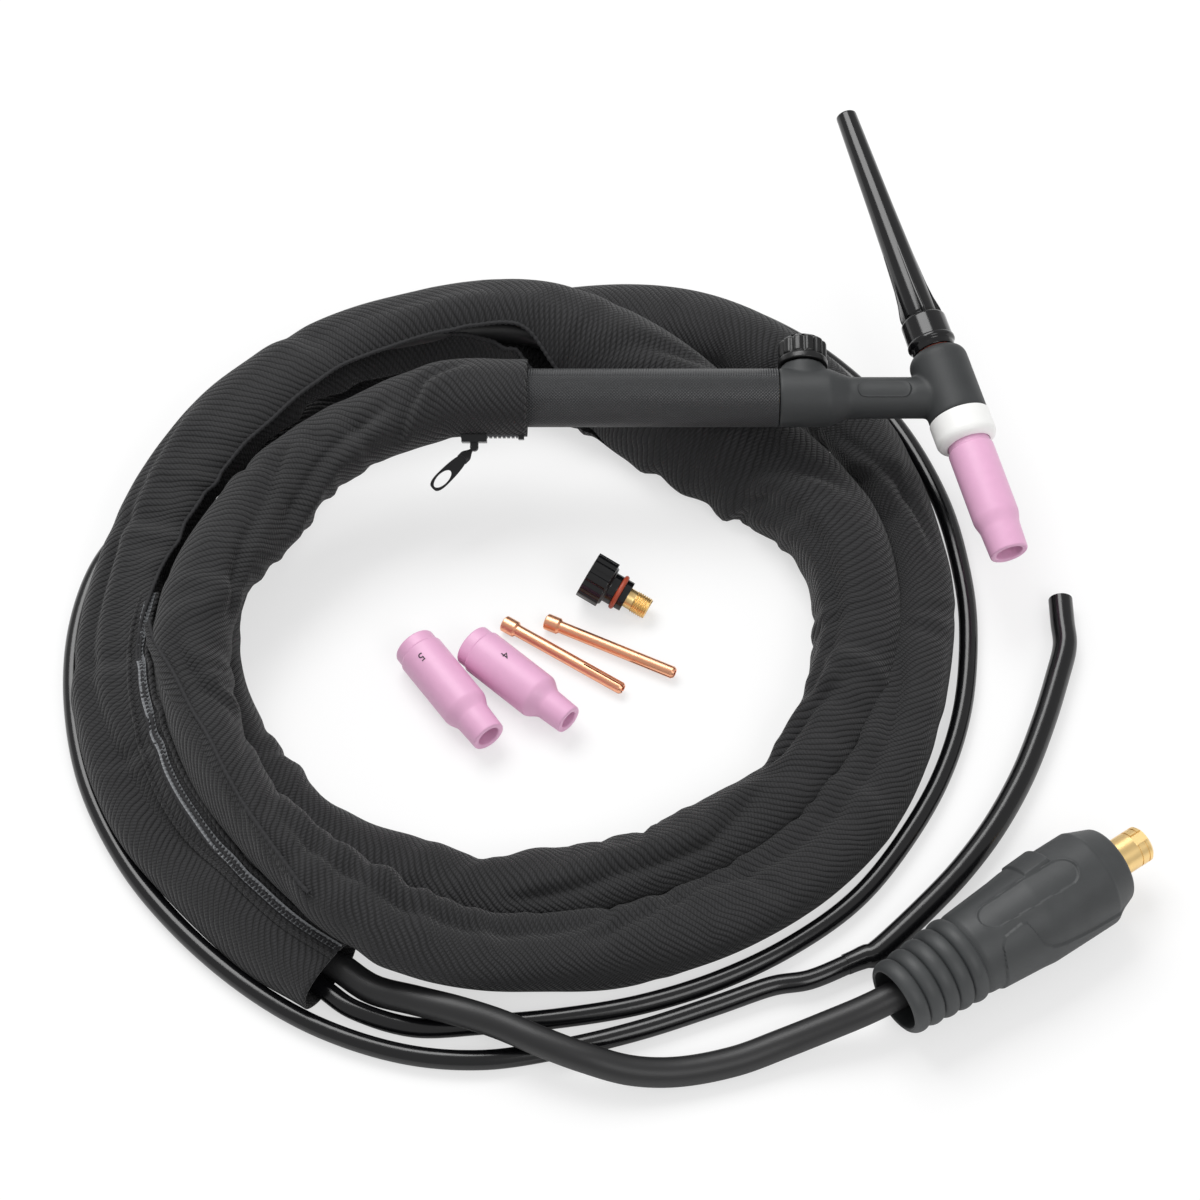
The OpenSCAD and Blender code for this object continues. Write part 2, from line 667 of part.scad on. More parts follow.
// Least gap between strands that lie beside or on each other
steps = 3;              // how many places are looked at between two points of the path
apart = 9;              // places nearer than this along the sleeve belong to one strand
near = 40;
fine = [for (i = [0:len(sleeve_path) - 2], s = [0:steps - 1])
    sleeve_path[i] + (sleeve_path[i + 1] - sleeve_path[i]) * s / steps];
fine_outer = [for (i = [0:len(fine) - 1])
    section(fine, i, sleeve_wide(i / steps), sleeve_high(i / steps), sleeve_sides)];
function strand_gap() = min([for (i = [0:len(fine) - 1], j = [i + apart:1:len(fine) - 1])
    if (norm(fine[i] - fine[j]) < near) min([for (p = fine_outer[i], q = fine_outer[j]) norm(p - q)])]);

module sleeve() {
    echo(least_gap_of_sleeve_to_itself = strand_gap());
    n = sleeve_sides;
    rings = len(sleeve_path);
    o = rings * n;
    last = (rings - 1) * n;
    pts = concat([for (i = [0:rings - 1]) each sleeve_outer(sleeve_path, i)],
        [for (i = [0:rings - 1]) each sleeve_inner(sleeve_path, i)]);
    start = [for (k = [0:n - 1]) let (b = (k + 1) % n) each [[b, k, o + k], [b, o + k, o + b]]];
    end = [for (k = [0:n - 1]) let (a = last + k, b = last + (k + 1) % n)
        each [[a, b, o + b], [a, o + b, o + a]]];
    color(cloth_black)
        polyhedron(points = pts, faces = concat(wall(rings, n), flipped(wall(rings, n, o)), start, end));
}

// Cable and hose keep their places in the sleeve's cross-section
cable_start = lug_z1 + fit;
hose_start = barb_z1 + fit;
cable_drop = -1.8;
hose_drop = -3.2;
level_points = 4;       // points in the handle and the cuff, where nothing sags
function with_start(x) = concat(
    [[torch_x - x, torch_y, torch_z], [torch_x - (x + cuff_start) / 2, torch_y, torch_z]], sleeve_path);
function beside(path, off, drop) = [for (i = [0:len(path) - 1])
    path[i] + sideways(path, i) * off + upwards(path, i) * (i < level_points ? 0 : drop)];
cable_run = beside(with_start(cable_start), cable_side, cable_drop);
hose_run = beside(with_start(hose_start), hose_side, hose_drop);
mouth_heading = unit(mouth - mouth_from);
cable_tail_start = cable_run[len(cable_run) - 1];
hose_tail_start = hose_run[len(hose_run) - 1];

module power_cable_run() {
    color(gloss_black) cord(cable_run, cable_d);
}
module gas_hose_run() {
    color(gloss_black) cord(hose_run, hose_d);
}

// ---- Plug ----
plug_at = [112.1, -173.7, 17.05];   // middle of the boot's rear end
plug_turn = 34.6;
function on_plug_axis(s) = plug_at + s * [cos(plug_turn), sin(plug_turn), 0];
module on_plug() {
    translate(plug_at) rotate([0, 0, plug_turn]) rotate([0, 90, 0]) children();
}

clamp_front_wall = 3;
clamp_len = 40;
clamp_z0 = boot_l - clamp_len - clamp_front_wall;
clamp_z1 = clamp_z0 + clamp_len;
clamp_body_d = 18;
shoulder_d = pin_d + 1;      // the pin's thicker root in the boot's front
shoulder_out = 0.2;
ferrule_d = 8.6;
ferrule_l = 19;
ferrule_bore_l = 20;
cable_end = clamp_z0 - 6;
screw_d = 6;
screw_sunk = 0.7;
screw_key_w = 3.4;
screw_key_l = 1.9;
screw_places = [clamp_z0 + 6, clamp_z0 + 14];
boot_chamfer = 4.5;
boot_swell = [22, 27];      // the boot reaches its width this far before its ribs
// Boot's front edge: inward, back from the front face
boot_front_edge = [[0, boot_chamfer], [1, boot_chamfer - 2.2], [4.4, 0]];
rib_depth = 1.8;
rib_zone = ribs * rib_pitch;
rib_steps = 6;
// Radius of the ribbed stretch at a share of its length
function rib_r(t) = rib_rear_d / 2 + (rib_front_d - rib_rear_d) / 2 * t;
rib_points = [for (i = [0:ribs - 1], k = [min(i, 1):rib_steps])
    let (u = -cos(180 * k / rib_steps), t = (i + (u + 1) / 2) / ribs)
    [rib_r(t) - rib_depth * (1 - sqrt(max(0, 1 - u * u * 0.998))), t * rib_zone]];

module plug_boot() {
    color(rubber_black) on_plug() rotate_extrude() difference() {
        polygon(concat([[0, 0]], rib_points,
            [[(rib_front_d - rib_depth) / 2, rib_zone + 1], [boot_d / 2 - 0.6, rib_zone + boot_swell[0]],
             [boot_d / 2, rib_zone + boot_swell[1]]],
            [for (p = boot_front_edge) [boot_d / 2 - p[0], boot_l - p[1]]], [[0, boot_l]]));
        polygon([[-1, -1], [boot_bore / 2, -1], [boot_bore / 2, clamp_z0 - 3],
            [clamp_body_d / 2 + fit, clamp_z0 - 1], [clamp_body_d / 2 + fit, clamp_z1 + fit],
            [shoulder_d / 2 + fit, clamp_z1 + fit],
            [shoulder_d / 2 + fit, boot_l + 1], [-1, boot_l + 1]]);
    }
}

pin_tip = boot_l + pin_l;
pin_chamfer = 0.8;
groove_w = 0.5;
groove_depth = 0.25;
tip_groove = 2.4;
channel_w = 4;
channel_depth = 0.9;
module plug_pin() {
    color(brass) on_plug() difference() {
        union() {
            rod_from(clamp_z0, clamp_z1, clamp_body_d);
            rod_from(clamp_z1 - 1, boot_l + shoulder_out, shoulder_d);
            rod_from(boot_l, pin_tip - pin_chamfer, pin_d);
            translate([0, 0, pin_tip - pin_chamfer - eps])
                cylinder(d1 = pin_d, d2 = pin_d - 2 * pin_chamfer, h = pin_chamfer);
        }
        rod_from(clamp_z0 - eps, clamp_z0 + ferrule_bore_l, ferrule_d + 2 * fit);
        for (z = screw_places) translate([0, 0, z]) rotate([0, -90, 0])
            cylinder(d = screw_d + 2 * running, h = clamp_body_d);
        for (z = [boot_l + pin_plain_l, pin_tip - tip_groove])
            tube_from(z, z + groove_w, pin_d + 1, pin_d - 2 * groove_depth);
        translate([-pin_d / 2 - 1, -channel_w / 2, boot_l + pin_plain_l])
            cube([channel_depth + 1, channel_w, pin_l]);
    }
}
module plug_screws() {
    color(zinc) on_plug() for (z = screw_places) translate([0, 0, z]) rotate([0, -90, 0]) difference() {
        rod_from(ferrule_d / 2 + 2 * fit, clamp_body_d / 2 - screw_sunk, screw_d);
        translate([0, 0, clamp_body_d / 2 - screw_sunk - screw_key_l])
            cylinder(d = screw_key_w, h = screw_key_l + 1, $fn = 6);
    }
}
module plug_ferrule() {
    color(copper) on_plug() rod_from(cable_end + fit, clamp_z0 + ferrule_l, ferrule_d);
}

// ---- Free cable, free hose and the hose's thick end ----
straight_out = 14;      // cable and hose leave the mouth straight this far
cable_tail = [cable_tail_start + mouth_heading * fit, cable_tail_start + mouth_heading * straight_out,
    [-45, -170, 10.5], [-31, -175, 12.8], [-17, -180, 13], [-3, -186.5, 13], [11, -191.5, 11.5],
    [26, -194.3, 8], [42, -193.5, 5.5], [60, -189.5, 5], [76, -183.8, 6.5], [92, -178.5, 10],
    [103, -174.8, 12.8], [113, -170.5, 15], on_plug_axis(17), on_plug_axis(30), on_plug_axis(cable_end)];
// Points of the free hose round the sleeve: angle, radius, height
hose_loop = [[259, 162.5, 3.7], [267, 158.5, 3.4], [276, 156.8, 3.4], [286, 157, 3.4], [296, 158, 3.4],
    [306, 159.5, 3.4], [316, 161, 3.4], [326, 160.5, 3.4], [337, 160.8, 3.4], [348, 161, 3.4],
    [360, 161.4, 3.4], [370, 162.4, 3.4], [380, 164.4, 3.4], [391, 166.4, 3.4], [401, 167.4, 3.4],
    [411, 167.6, 3.4], [421, 165.6, 3.4], [432, 160, 3.4], [444, 152.5, 3.4], [457, 145, 3.4],
    [471, 138, 3.4], [486, 131.5, 3.4], [498, 129, 3.4], [507, 132, 3.4], [515, 139, 3.4],
    [523, 147.5, 3.4], [531, 153.5, 3.4], [541, 156.5, 3.4], [552, 158.5, 3.4], [564, 161, 3.4],
    [576, 163, 3.4], [587, 165, 3.4], [598, 168, 3.4], [608, 171, 3.4], [618, 172.5, 3.4],
    [627, 171.5, 3.4], [636, 168, 3.4], [645, 166, 3.4], [654, 166, 3.6], [661, 168.5, 4]];
socket_at = [98, -153.5, 4.45];
socket_turn = 25;
socket_l = 14;
socket_depth = 11;
socket_heading = [cos(socket_turn), sin(socket_turn), 0];
hose_tail = concat(
    [hose_tail_start + mouth_heading * fit, hose_tail_start + mouth_heading * straight_out],
    [for (p = hose_loop) on_ring(p)],
    [socket_at - 13 * socket_heading, socket_at + (socket_depth - fit) * socket_heading]);
hose_end_at = [181, -20, 4.45];     // where the straight open end starts
hose_end_path = [socket_at + (socket_l - 1) * socket_heading, socket_at + (socket_l + 6) * socket_heading,
    [128, -129.5, 4.45], [140.5, -115, 4.45], [152, -98.5, 4.45], [162.5, -79, 4.45], [171, -58, 4.45],
    [177.5, -38.5, 4.45], [181, -26, 4.45], hose_end_at];
module power_cable_tail() {
    color(gloss_black) cord(cable_tail, cable_d);
}
module gas_hose_tail() {
    color(gloss_black) cord(hose_tail, hose_d);
}
module in_socket() {
    translate(socket_at) rotate([0, 0, socket_turn]) rotate([0, 90, 0]) children();
}
module in_hose_end() {
    translate(hose_end_at) rotate([-90, 0, 0]) children();
}
end_wall = 2;           // plain length behind the open end's bore
module hose_end() {
    color(gloss_black) difference() {
        union() {
            cord(hose_end_path, hose_end_d - 0.4);
            in_socket() cylinder(d = hose_end_d, h = socket_l);
            in_hose_end() rod_from(-end_wall, hose_end_depth + end_wall, hose_end_d);
        }
        in_socket() rod_from(-eps, socket_depth, hose_d + 2 * fit);
        in_hose_end() rod_from(end_wall, hose_end_depth + end_wall + 1, hose_end_bore);
    }
}

// ---- Zipper at the cuff ----
// It lies on the lower front facet of the cuff
facet_ends = [195, 225];
facet_a = [cuff_w / 2 * cos(facet_ends[0]), cuff_h / 2 * sin(facet_ends[0])];
facet_b = [cuff_w / 2 * cos(facet_ends[1]), cuff_h / 2 * sin(facet_ends[1])];
facet_mid = (facet_a + facet_b) / 2;
facet_turn = atan2(facet_a[1] - facet_b[1], facet_a[0] - facet_b[0]);
slider_from_cuff = 19;
slider_x = torch_x - cuff_start - slider_from_cuff;
module on_zip() {
    translate([slider_x, torch_y + facet_mid[0], torch_z + facet_mid[1]])
        rotate([facet_turn, 0, 0]) children();
}
zip_gap = 0.15;
zip_h = 1.3;
zip_from = -4.8;
stop_l = 2;
stop_h = 1.9;
stop_gap = 0.2;
zip_to = zip_from + zip_l - stop_l - 3 * stop_gap;
tooth_pitch = 1.6;
tooth_gap = 0.6;
tooth_depth = 0.5;
slider_w = zip_w + 3.4;
slot_w = zip_w + 0.8;
slider_wall = 1.3;
slider_low = 0.4;
slider_top = zip_gap + zip_h + loose + slider_wall;
eye_w = 3.2;
eye_d = 3;
bail_d = 1.4;
bail_t = 1;
bail_w = 2.8;
bail_root = 0.5;
eye_play = 0.3;
hinge_z = slider_top + eye_d / 2 + 0.2;
pull_t = 1.4;
pull_neck_l = 4.4;
pull_frame = 1.5;       // width of the tab's frame round its hole
pull_hole = [pull_l * 0.42, pull_l - pull_w / 2 - 0.3];

module zip_teeth() {
    color(gloss_black) on_zip() difference() {
        translate([zip_from, -zip_w / 2, zip_gap]) cube([zip_to - zip_from, zip_w, zip_h]);
        for (x = [zip_from + tooth_pitch:tooth_pitch:zip_to - 1])
            translate([x, -zip_w, zip_gap + zip_h - tooth_depth])
                cube([tooth_gap, 2 * zip_w, 1]);
    }
}
module zip_stop() {
    color(zinc) on_zip() translate([zip_to + stop_gap, -slot_w / 2, zip_gap]) cube([stop_l, slot_w, stop_h]);
}
module zip_slider() {
    color(zinc) on_zip() difference() {
        union() {
            translate([-slider_l / 2, -slider_w / 2, slider_low])
                cube([slider_l, slider_w, slider_top - slider_low]);
            for (y = [-eye_w / 2 - eye_play - bail_t, eye_w / 2 + eye_play]) translate([0, y, 0]) {
                translate([-bail_w / 2, 0, slider_top - bail_root])
                    cube([bail_w, bail_t, hinge_z - slider_top + bail_root]);
                translate([0, 0, hinge_z]) rotate([-90, 0, 0]) cylinder(d = bail_w, h = bail_t);
            }
            translate([0, -eye_w / 2 - bail_root, hinge_z]) rotate([-90, 0, 0])
                cylinder(d = bail_d, h = eye_w + 2 * bail_root);
        }
        translate([-slider_l, -slot_w / 2, -1]) cube([2 * slider_l, slot_w, 1 + zip_gap + zip_h + loose]);
    }
}
module zip_pull() {
    color(zinc) on_zip() translate([0, 0, hinge_z]) rotate([0, 180 + pull_angle, 0]) difference() {
        union() {
            translate([0, -eye_w / 2, 0]) rotate([-90, 0, 0]) cylinder(d = eye_d, h = eye_w);
            translate([0, -eye_w / 2, -pull_t / 2]) cube([pull_neck_l, eye_w, pull_t]);
            translate([pull_neck_l - 0.2, -pull_w / 2, -pull_t / 2])
                cube([pull_l - pull_neck_l + 0.2 - pull_w / 2, pull_w, pull_t]);
            translate([pull_l - pull_w / 2, 0, -pull_t / 2]) cylinder(d = pull_w, h = pull_t);
        }
        translate([0, -eye_w, 0]) rotate([-90, 0, 0]) cylinder(d = bail_d + 0.4, h = 2 * eye_w);
        for (x = pull_hole) translate([x, 0, -pull_t])
            cylinder(d = pull_w - 2 * pull_frame, h = 2 * pull_t);
        translate([pull_hole[0], pull_frame - pull_w / 2, -pull_t])
            cube([pull_hole[1] - pull_hole[0], pull_w - 2 * pull_frame, 2 * pull_t]);
    }
}

// ---- Spare parts on the ground ----
ground_gap = 0.05;
// z of the child points level in the direction turn; d is the diameter that it lies on
module lying(x, y, d, turn) {
    translate([x, y, d / 2 + ground_gap]) rotate([0, 0, turn]) rotate([0, 90, 0]) children();
}
module spare_nozzle_5() {
    lying(-49.8, -28.2, nozzle_d, -54.5) nozzle_shape(orifice_5);
}
module spare_nozzle_4() {
    lying(-29.4, -27.8, nozzle_d, -42.5) nozzle_shape(orifice_4);
}
module spare_collet_left() {
    lying(24, -43.2, collet_head_d, 146.3) collet_shape();
}
module spare_collet_right() {
    lying(42.4, -36.5, collet_head_d, 154) rotate([0, 0, 90]) collet_shape();
}

// The short cap leans on the rim of its knob and on the end of its thread
short_neck_h = 3;
short_turn = 153.6;
short_flute_w = 3;
knob_ribs = 8;
rib_t = 1;
recess_h = 3;
recess_d = short_knob_d - 3.6;
hub_d = 4.4;
short_knob_z = seal_h + short_neck_h;
short_len = short_knob_z + nose_l + insert_plain_l + insert_thread_l;
short_lean = atan((short_knob_d - insert_d) / 2 / short_len);
module on_short_cap() {
    z = short_knob_d / 2 * cos(short_lean) + short_knob_h * sin(short_lean) + 3 * ground_gap;
    translate([11.7, 0.8, z]) rotate([0, 0, short_turn]) rotate([0, 90 - short_lean, 0])
        translate([0, 0, -short_knob_z - short_knob_h]) children();
}
module short_cap_knob() {
    color(gloss_black) on_short_cap() {
        difference() {
            union() {
                cap_nose(short_neck_h + 0.1);
                translate([0, 0, short_knob_z]) {
                    cylinder(d1 = short_knob_d - crown_in[1], d2 = short_knob_d - crown_in[0], h = crown_h);
                    translate([0, 0, grip_inset]) fluted(short_knob_d, short_knob_h - grip_inset,
                        short_flutes, flute_depth, short_flute_w);
                }
            }
            rod_from(-nose_l - eps, insert_in_cap + insert_end_gap, insert_rear_d + fit);
            translate([0, 0, short_knob_z + short_knob_h - recess_h]) ring(recess_d, hub_d, recess_h + 1);
        }
        for (i = [0:knob_ribs - 1]) rotate([0, 0, 360 * i / knob_ribs])
            translate([hub_d / 2 - loose, -rib_t / 2, short_knob_z + short_knob_h - recess_h - 0.2])
                cube([(recess_d - hub_d) / 2 + 2 * loose, rib_t, recess_h - 0.4]);
    }
}
module short_cap_o_ring() {
    on_short_cap() cap_seal();
}
module short_cap_insert() {
    on_short_cap() cap_insert();
}

head_cover();
head_core();
neck_tube();
valve_body();
valve_stem();
valve_o_ring();
valve_knob();
handle();
torch_fitting();
cup_gasket();
collet_body();
collet();
nozzle();
back_cap();
back_cap_o_ring();
back_cap_insert();
cable_lug();
cable_conductor();
hose_barb();
hose_clamp();
power_cable_run();
power_cable_tail();
gas_hose_run();
gas_hose_tail();
hose_end();
sleeve();
zip_teeth();
zip_stop();
zip_slider();
zip_pull();
plug_boot();
plug_pin();
plug_screws();
plug_ferrule();
spare_nozzle_5();
spare_nozzle_4();
spare_collet_left();
spare_collet_right();
short_cap_knob();
short_cap_o_ring();
short_cap_insert();
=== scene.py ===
"""Looks of a TIG welding torch with a zipped fabric sleeve, hose, cable, plug and spare parts.

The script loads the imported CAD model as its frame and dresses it. Lengths are in millimetres
until a mesh is made, and angles are in degrees unless a name says otherwise.
"""

from __future__ import annotations

import json
import logging
import sys
from dataclasses import dataclass
from enum import Enum
from typing import Any, Callable, Iterable, Sequence

import bmesh
import bpy
import numpy as np
from mathutils import Matrix, Vector

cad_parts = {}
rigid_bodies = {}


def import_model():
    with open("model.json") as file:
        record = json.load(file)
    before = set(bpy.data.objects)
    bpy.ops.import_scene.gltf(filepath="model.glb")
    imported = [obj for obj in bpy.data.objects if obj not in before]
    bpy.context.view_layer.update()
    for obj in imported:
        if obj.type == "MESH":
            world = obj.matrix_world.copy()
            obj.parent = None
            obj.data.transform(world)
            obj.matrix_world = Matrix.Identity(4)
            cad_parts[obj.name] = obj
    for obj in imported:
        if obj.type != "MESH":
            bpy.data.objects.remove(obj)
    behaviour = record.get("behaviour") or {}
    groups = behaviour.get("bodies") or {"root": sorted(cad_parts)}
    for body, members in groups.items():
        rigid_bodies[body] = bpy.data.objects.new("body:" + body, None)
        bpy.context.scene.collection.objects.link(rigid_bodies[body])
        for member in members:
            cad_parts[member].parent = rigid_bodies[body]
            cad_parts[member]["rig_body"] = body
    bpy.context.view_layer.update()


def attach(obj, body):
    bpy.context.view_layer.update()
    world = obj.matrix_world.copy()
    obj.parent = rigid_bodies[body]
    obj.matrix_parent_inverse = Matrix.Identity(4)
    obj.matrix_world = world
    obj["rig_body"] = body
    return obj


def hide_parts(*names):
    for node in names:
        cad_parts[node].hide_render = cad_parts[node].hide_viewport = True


log = logging.getLogger("torch")
Array = np.ndarray
Relief = Callable[[Array, Array, Array], Array]
Points = tuple[tuple[float, ...], ...]
MM = 0.001
TAU = 2 * np.pi
UP = np.array([0.0, 0.0, 1.0])
# points nearer than this are one point, in metres
WELD = 2e-6
# samples of a smooth path between two of its points
SPAN_SAMPLES = 16
# middle of the coiled sleeve, seen from above
COIL_MIDDLE = np.array([-14.0, -17.0])
# rear end of the plug, and its heading from x towards y
PLUG_AT = (112.1, -173.7, 17.05)
PLUG_TURN = 34.6


# ---------------------------------------------------------------- geometry


class Axis(Enum):
    """One axis of a frame, under the name that Blender has for it."""

    X = "X"
    Y = "Y"
    Z = "Z"


@dataclass(frozen=True)
class Place:
    """A local frame: where its origin is, and a matrix whose columns are its axes."""

    origin: Array
    axes: Array

    def out(self, points: Array) -> Array:
        """Points of the local frame, in the row frame."""
        return self.origin + points @ self.axes.T

    def moved(self, shift: Sequence[float]) -> Place:
        """The same frame with its origin moved by a local shift."""
        return Place(self.out(np.array(shift, float)), self.axes)

    def turned(self, axis: Axis, degrees: float) -> Place:
        """The same frame turned about one of its own axes, by the right-hand rule."""
        turn = np.array(Matrix.Rotation(np.radians(degrees), 3, axis.value))
        return Place(self.origin, self.axes @ turn)


def place(x: float, y: float, z: float) -> Place:
    """A frame at a point, with the row frame's directions."""
    return Place(np.array([x, y, z], float), np.eye(3))


def smooth_path(points: Iterable[Sequence[float]], step: float) -> Array:
    """Smooth curve through points, sampled at equal steps.

    Formula: between two points, a Catmull-Rom cubic whose slope at each point is half the
    chord of that point's neighbours; the curve is then resampled by its arc length.

    Args:
        points: the points that the curve goes through.
        step: distance between samples.

    Returns:
        Array of samples, one row each.
    """
    p = np.asarray(list(points), float)
    q = np.vstack([2 * p[0] - p[1], p, 2 * p[-1] - p[-2]])
    a, b, c, d = (x[:, None] for x in (q[:-3], q[1:-2], q[2:-1], q[3:]))
    t = np.linspace(0, 1, SPAN_SAMPLES, endpoint=False)[None, :, None]
    square, cube = 2 * a - 5 * b + 4 * c - d, 3 * b - a - 3 * c + d
    cubic = 2 * b + (c - a) * t + square * t**2 + cube * t**3
    curve = np.vstack([cubic.reshape(-1, 3) / 2, p[-1:]])
    at = lengths_along(curve)
    new = np.linspace(0, at[-1], max(2, round(at[-1] / step) + 1))
    return resampled(curve, at, new)


def lengths_along(path: Array) -> Array:
    """Arc length at each point of a path."""
    return np.concatenate([[0.0], np.cumsum(np.linalg.norm(np.diff(path, axis=0), axis=1))])


def resampled(values: Array, at: Array, new: Array) -> Array:
    """Rows that are given at the lengths at, read off at the lengths new."""
    return np.stack([np.interp(new, at, column) for column in values.T], axis=1)


def stacked(*parts: Array) -> Array:
    """Parts brought to one shape and stacked along a new last axis."""
    return np.stack(np.broadcast_arrays(*parts), axis=-1)


def smoothed(values: Array, window: Array) -> Array:
    """Values averaged over their neighbours by the weights of an odd window."""
    padded = np.pad(values, len(window) // 2, mode="edge")
    return np.convolve(padded, window / window.sum(), mode="valid")


def level(degrees: float) -> Array:
    """Level direction at an angle from x towards y."""
    return np.array([np.cos(np.radians(degrees)), np.sin(np.radians(degrees)), 0])


def round_the_coil(angle: Array, radius: Array, height: Array) -> Array:
    """Points about the coil's middle.

    Args:
        angle: angle of each point, counter-clockwise from x.
        radius: its distance from the coil's middle, seen from above.
        height: its height over the ground.

    Returns:
        The points, one row each.
    """
    x, y = COIL_MIDDLE
    turn = np.radians(angle)
    return np.column_stack([x + radius * np.cos(turn), y + radius * np.sin(turn), height])


def unit(v: Array) -> Array:
    """Vectors scaled to length one along the last axis."""
    return v / np.linalg.norm(v, axis=-1, keepdims=True)


def frames_along(path: Array) -> tuple[Array, Array, Array]:
    """Directions carried along a path that never runs straight up.

    Formula: heading is the path's slope, side is heading crossed with the vertical, and up is
    side crossed with heading.

    Args:
        path: points of the path.

    Returns:
        heading, side and up at each point.
    """
    heading = unit(np.gradient(path, axis=0))
    side = unit(np.cross(heading, UP))
    return heading, side, np.cross(side, heading)


def step_up(x: Array, low: float, high: float) -> Array:
    """Smooth rise from 0 at low to 1 at high: 3t^2 - 2t^3."""
    t = np.clip((x - low) / (high - low), 0, 1)
    return t * t * (3 - 2 * t)


def bell(x: Array, width: float) -> Array:
    """Bell curve exp(-(x/width)^2)."""
    return np.exp(-((x / width) ** 2))


def rounded(profile: Sequence[Sequence[float]], radius: float, steps: int = 4) -> Array:
    """Outline with each inner corner rounded.

    Formula: a corner is cut back by the radius, or by 45 % of its shorter side, and a quadratic
    Bezier curve joins the cuts.

    Args:
        profile: points of the outline.
        radius: how far a corner is cut back.
        steps: points on each rounding.

    Returns:
        The new outline.
    """
    p = np.asarray(profile, float)
    before, after = p[:-2] - p[1:-1], p[2:] - p[1:-1]
    shorter = np.minimum(np.linalg.norm(before, axis=1), np.linalg.norm(after, axis=1))
    cut = np.minimum(radius, 0.45 * shorter)
    a = (p[1:-1] + unit(before) * cut[:, None])[:, None]
    b = (p[1:-1] + unit(after) * cut[:, None])[:, None]
    t = np.linspace(0, 1, steps)[None, :, None]
    bend = (1 - t) ** 2 * a + 2 * t * (1 - t) * p[1:-1][:, None] + t**2 * b
    return np.vstack([p[:1], bend.reshape(-1, 2), p[-1:]])


def lathe(profile: Array, sides: int, relief: Relief | None = None) -> tuple[Array, Array]:
    """Surface turned from an outline, with an optional relief.

    Formula: at angle a and height z the point is (r cos a, r sin a, z), where r is the outline's
    radius plus relief(a, z, r).

    Args:
        profile: rows of radius and height.
        sides: points round the axis.
        relief: function of angle, height and radius that gives the radius's change.

    Returns:
        Grid of points, and its UV in millimetres: round the surface and along the outline.
    """
    a = np.linspace(0, TAU, sides + 1)[None, :]
    r, z = profile[:, :1], profile[:, 1:]
    a, r, z = np.broadcast_arrays(a, r, z)
    if relief is not None:
        r = r + relief(a, z, r)
    grid = np.stack([r * np.cos(a), r * np.sin(a), z], axis=-1)
    along = lengths_along(profile)[:, None]
    uv = stacked(a * profile[:, 0].max(), along)
    return grid, uv


def piece_from_grid(
    name: str, grid: Array, uv: Array, flip: bool = False, sharp: float = 40.0
) -> bpy.types.Object:
    """Makes a mesh object from a grid of points in millimetres.

    Args:
        name: name of the piece.
        grid: points, rows along and columns round.
        uv: texture place of each point, in millimetres.
        flip: whether the faces are turned round.
        sharp: angle over which an edge stays sharp.

    Returns:
        The object, in the scene and at the origin.
    """
    return piece_from_grids(name, [(grid, uv)], flip, sharp)


def piece_from_grids(
    name: str, parts: Sequence[tuple[Array, Array]], flip: bool = False, sharp: float = 40.0
) -> bpy.types.Object:
    """Makes one mesh object from several grids, as piece_from_grid does from one.

    Args:
        name: name of the piece.
        parts: a grid of points and its UV for each part.
        flip: whether the faces are turned round.
        sharp: angle over which an edge stays sharp.

    Returns:
        The object, in the scene and at the origin.
    """
    points, faces, places, first = [], [], [], 0
    for grid, uv in parts:
        rows, columns = grid.shape[:2]
        number = first + np.arange(rows * columns).reshape(rows, columns)
        corners = number[:-1, :-1], number[:-1, 1:], number[1:, 1:], number[1:, :-1]
        quads = np.stack(corners, axis=-1).reshape(-1, 4)
        quads = quads[:, ::-1] if flip else quads
        points.append(grid.reshape(-1, 3))
        places.append(uv.reshape(-1, 2))
        faces.append(quads)
        first += rows * columns
    points, faces, places = np.vstack(points) * MM, np.vstack(faces), np.vstack(places)
    mesh = bpy.data.meshes.new(name)
    mesh.from_pydata(points, [], faces)
    layer = mesh.uv_layers.new(name="UVMap")
    layer.data.foreach_set("uv", places[faces.ravel()].astype(np.float32).ravel())
    return finished_mesh(name, mesh, sharp)


def linked(name: str, data: Any) -> bpy.types.Object:
    """Makes an object and puts it in the scene.

    Args:
        name: its name.
        data: its mesh, curve, lamp or camera.

    Returns:
        The object.
    """
    made = bpy.data.objects.new(name, data)
    bpy.context.scene.collection.objects.link(made)
    return made


def finished_mesh(name: str, mesh: bpy.types.Mesh, sharp: float) -> bpy.types.Object:
    """Welds coinciding points, sets the shading and links the mesh as an object.

    Args:
        name: name of the piece.
        mesh: its mesh, in metres.
        sharp: angle over which an edge stays sharp.

    Returns:
        The object.
    """
    shape = bmesh.new()
    shape.from_mesh(mesh)
    bmesh.ops.remove_doubles(shape, verts=shape.verts, dist=WELD)
    shape.to_mesh(mesh)
    shape.free()
    mesh.polygons.foreach_set("use_smooth", np.ones(len(mesh.polygons), bool))
    mesh.set_sharp_from_angle(angle=float(np.radians(sharp)))
    return linked(name, mesh)


def swept(path: Array, rows: Array, radius: Array, sides: int) -> tuple[Array, Array]:
    """Round surface along a path.

    Formula: path point plus radius times (side cos a + up sin a).

    Args:
        path: centreline.
        rows: number of each ring's point on the path.
        radius: radius of each ring.
        sides: points round a ring.

    Returns:
        Grid of points and its UV in millimetres.
    """
    _, side, up = (part[rows][:, None] for part in frames_along(path))
    a = np.linspace(0, TAU, sides + 1)
    ring = np.cos(a)[None, :, None] * side + np.sin(a)[None, :, None] * up
    grid = path[rows][:, None] + ring * radius[:, None, None]
    along = lengths_along(path)[rows][:, None]
    uv = stacked(a[None, :] * radius.max(), along)
    return grid, uv


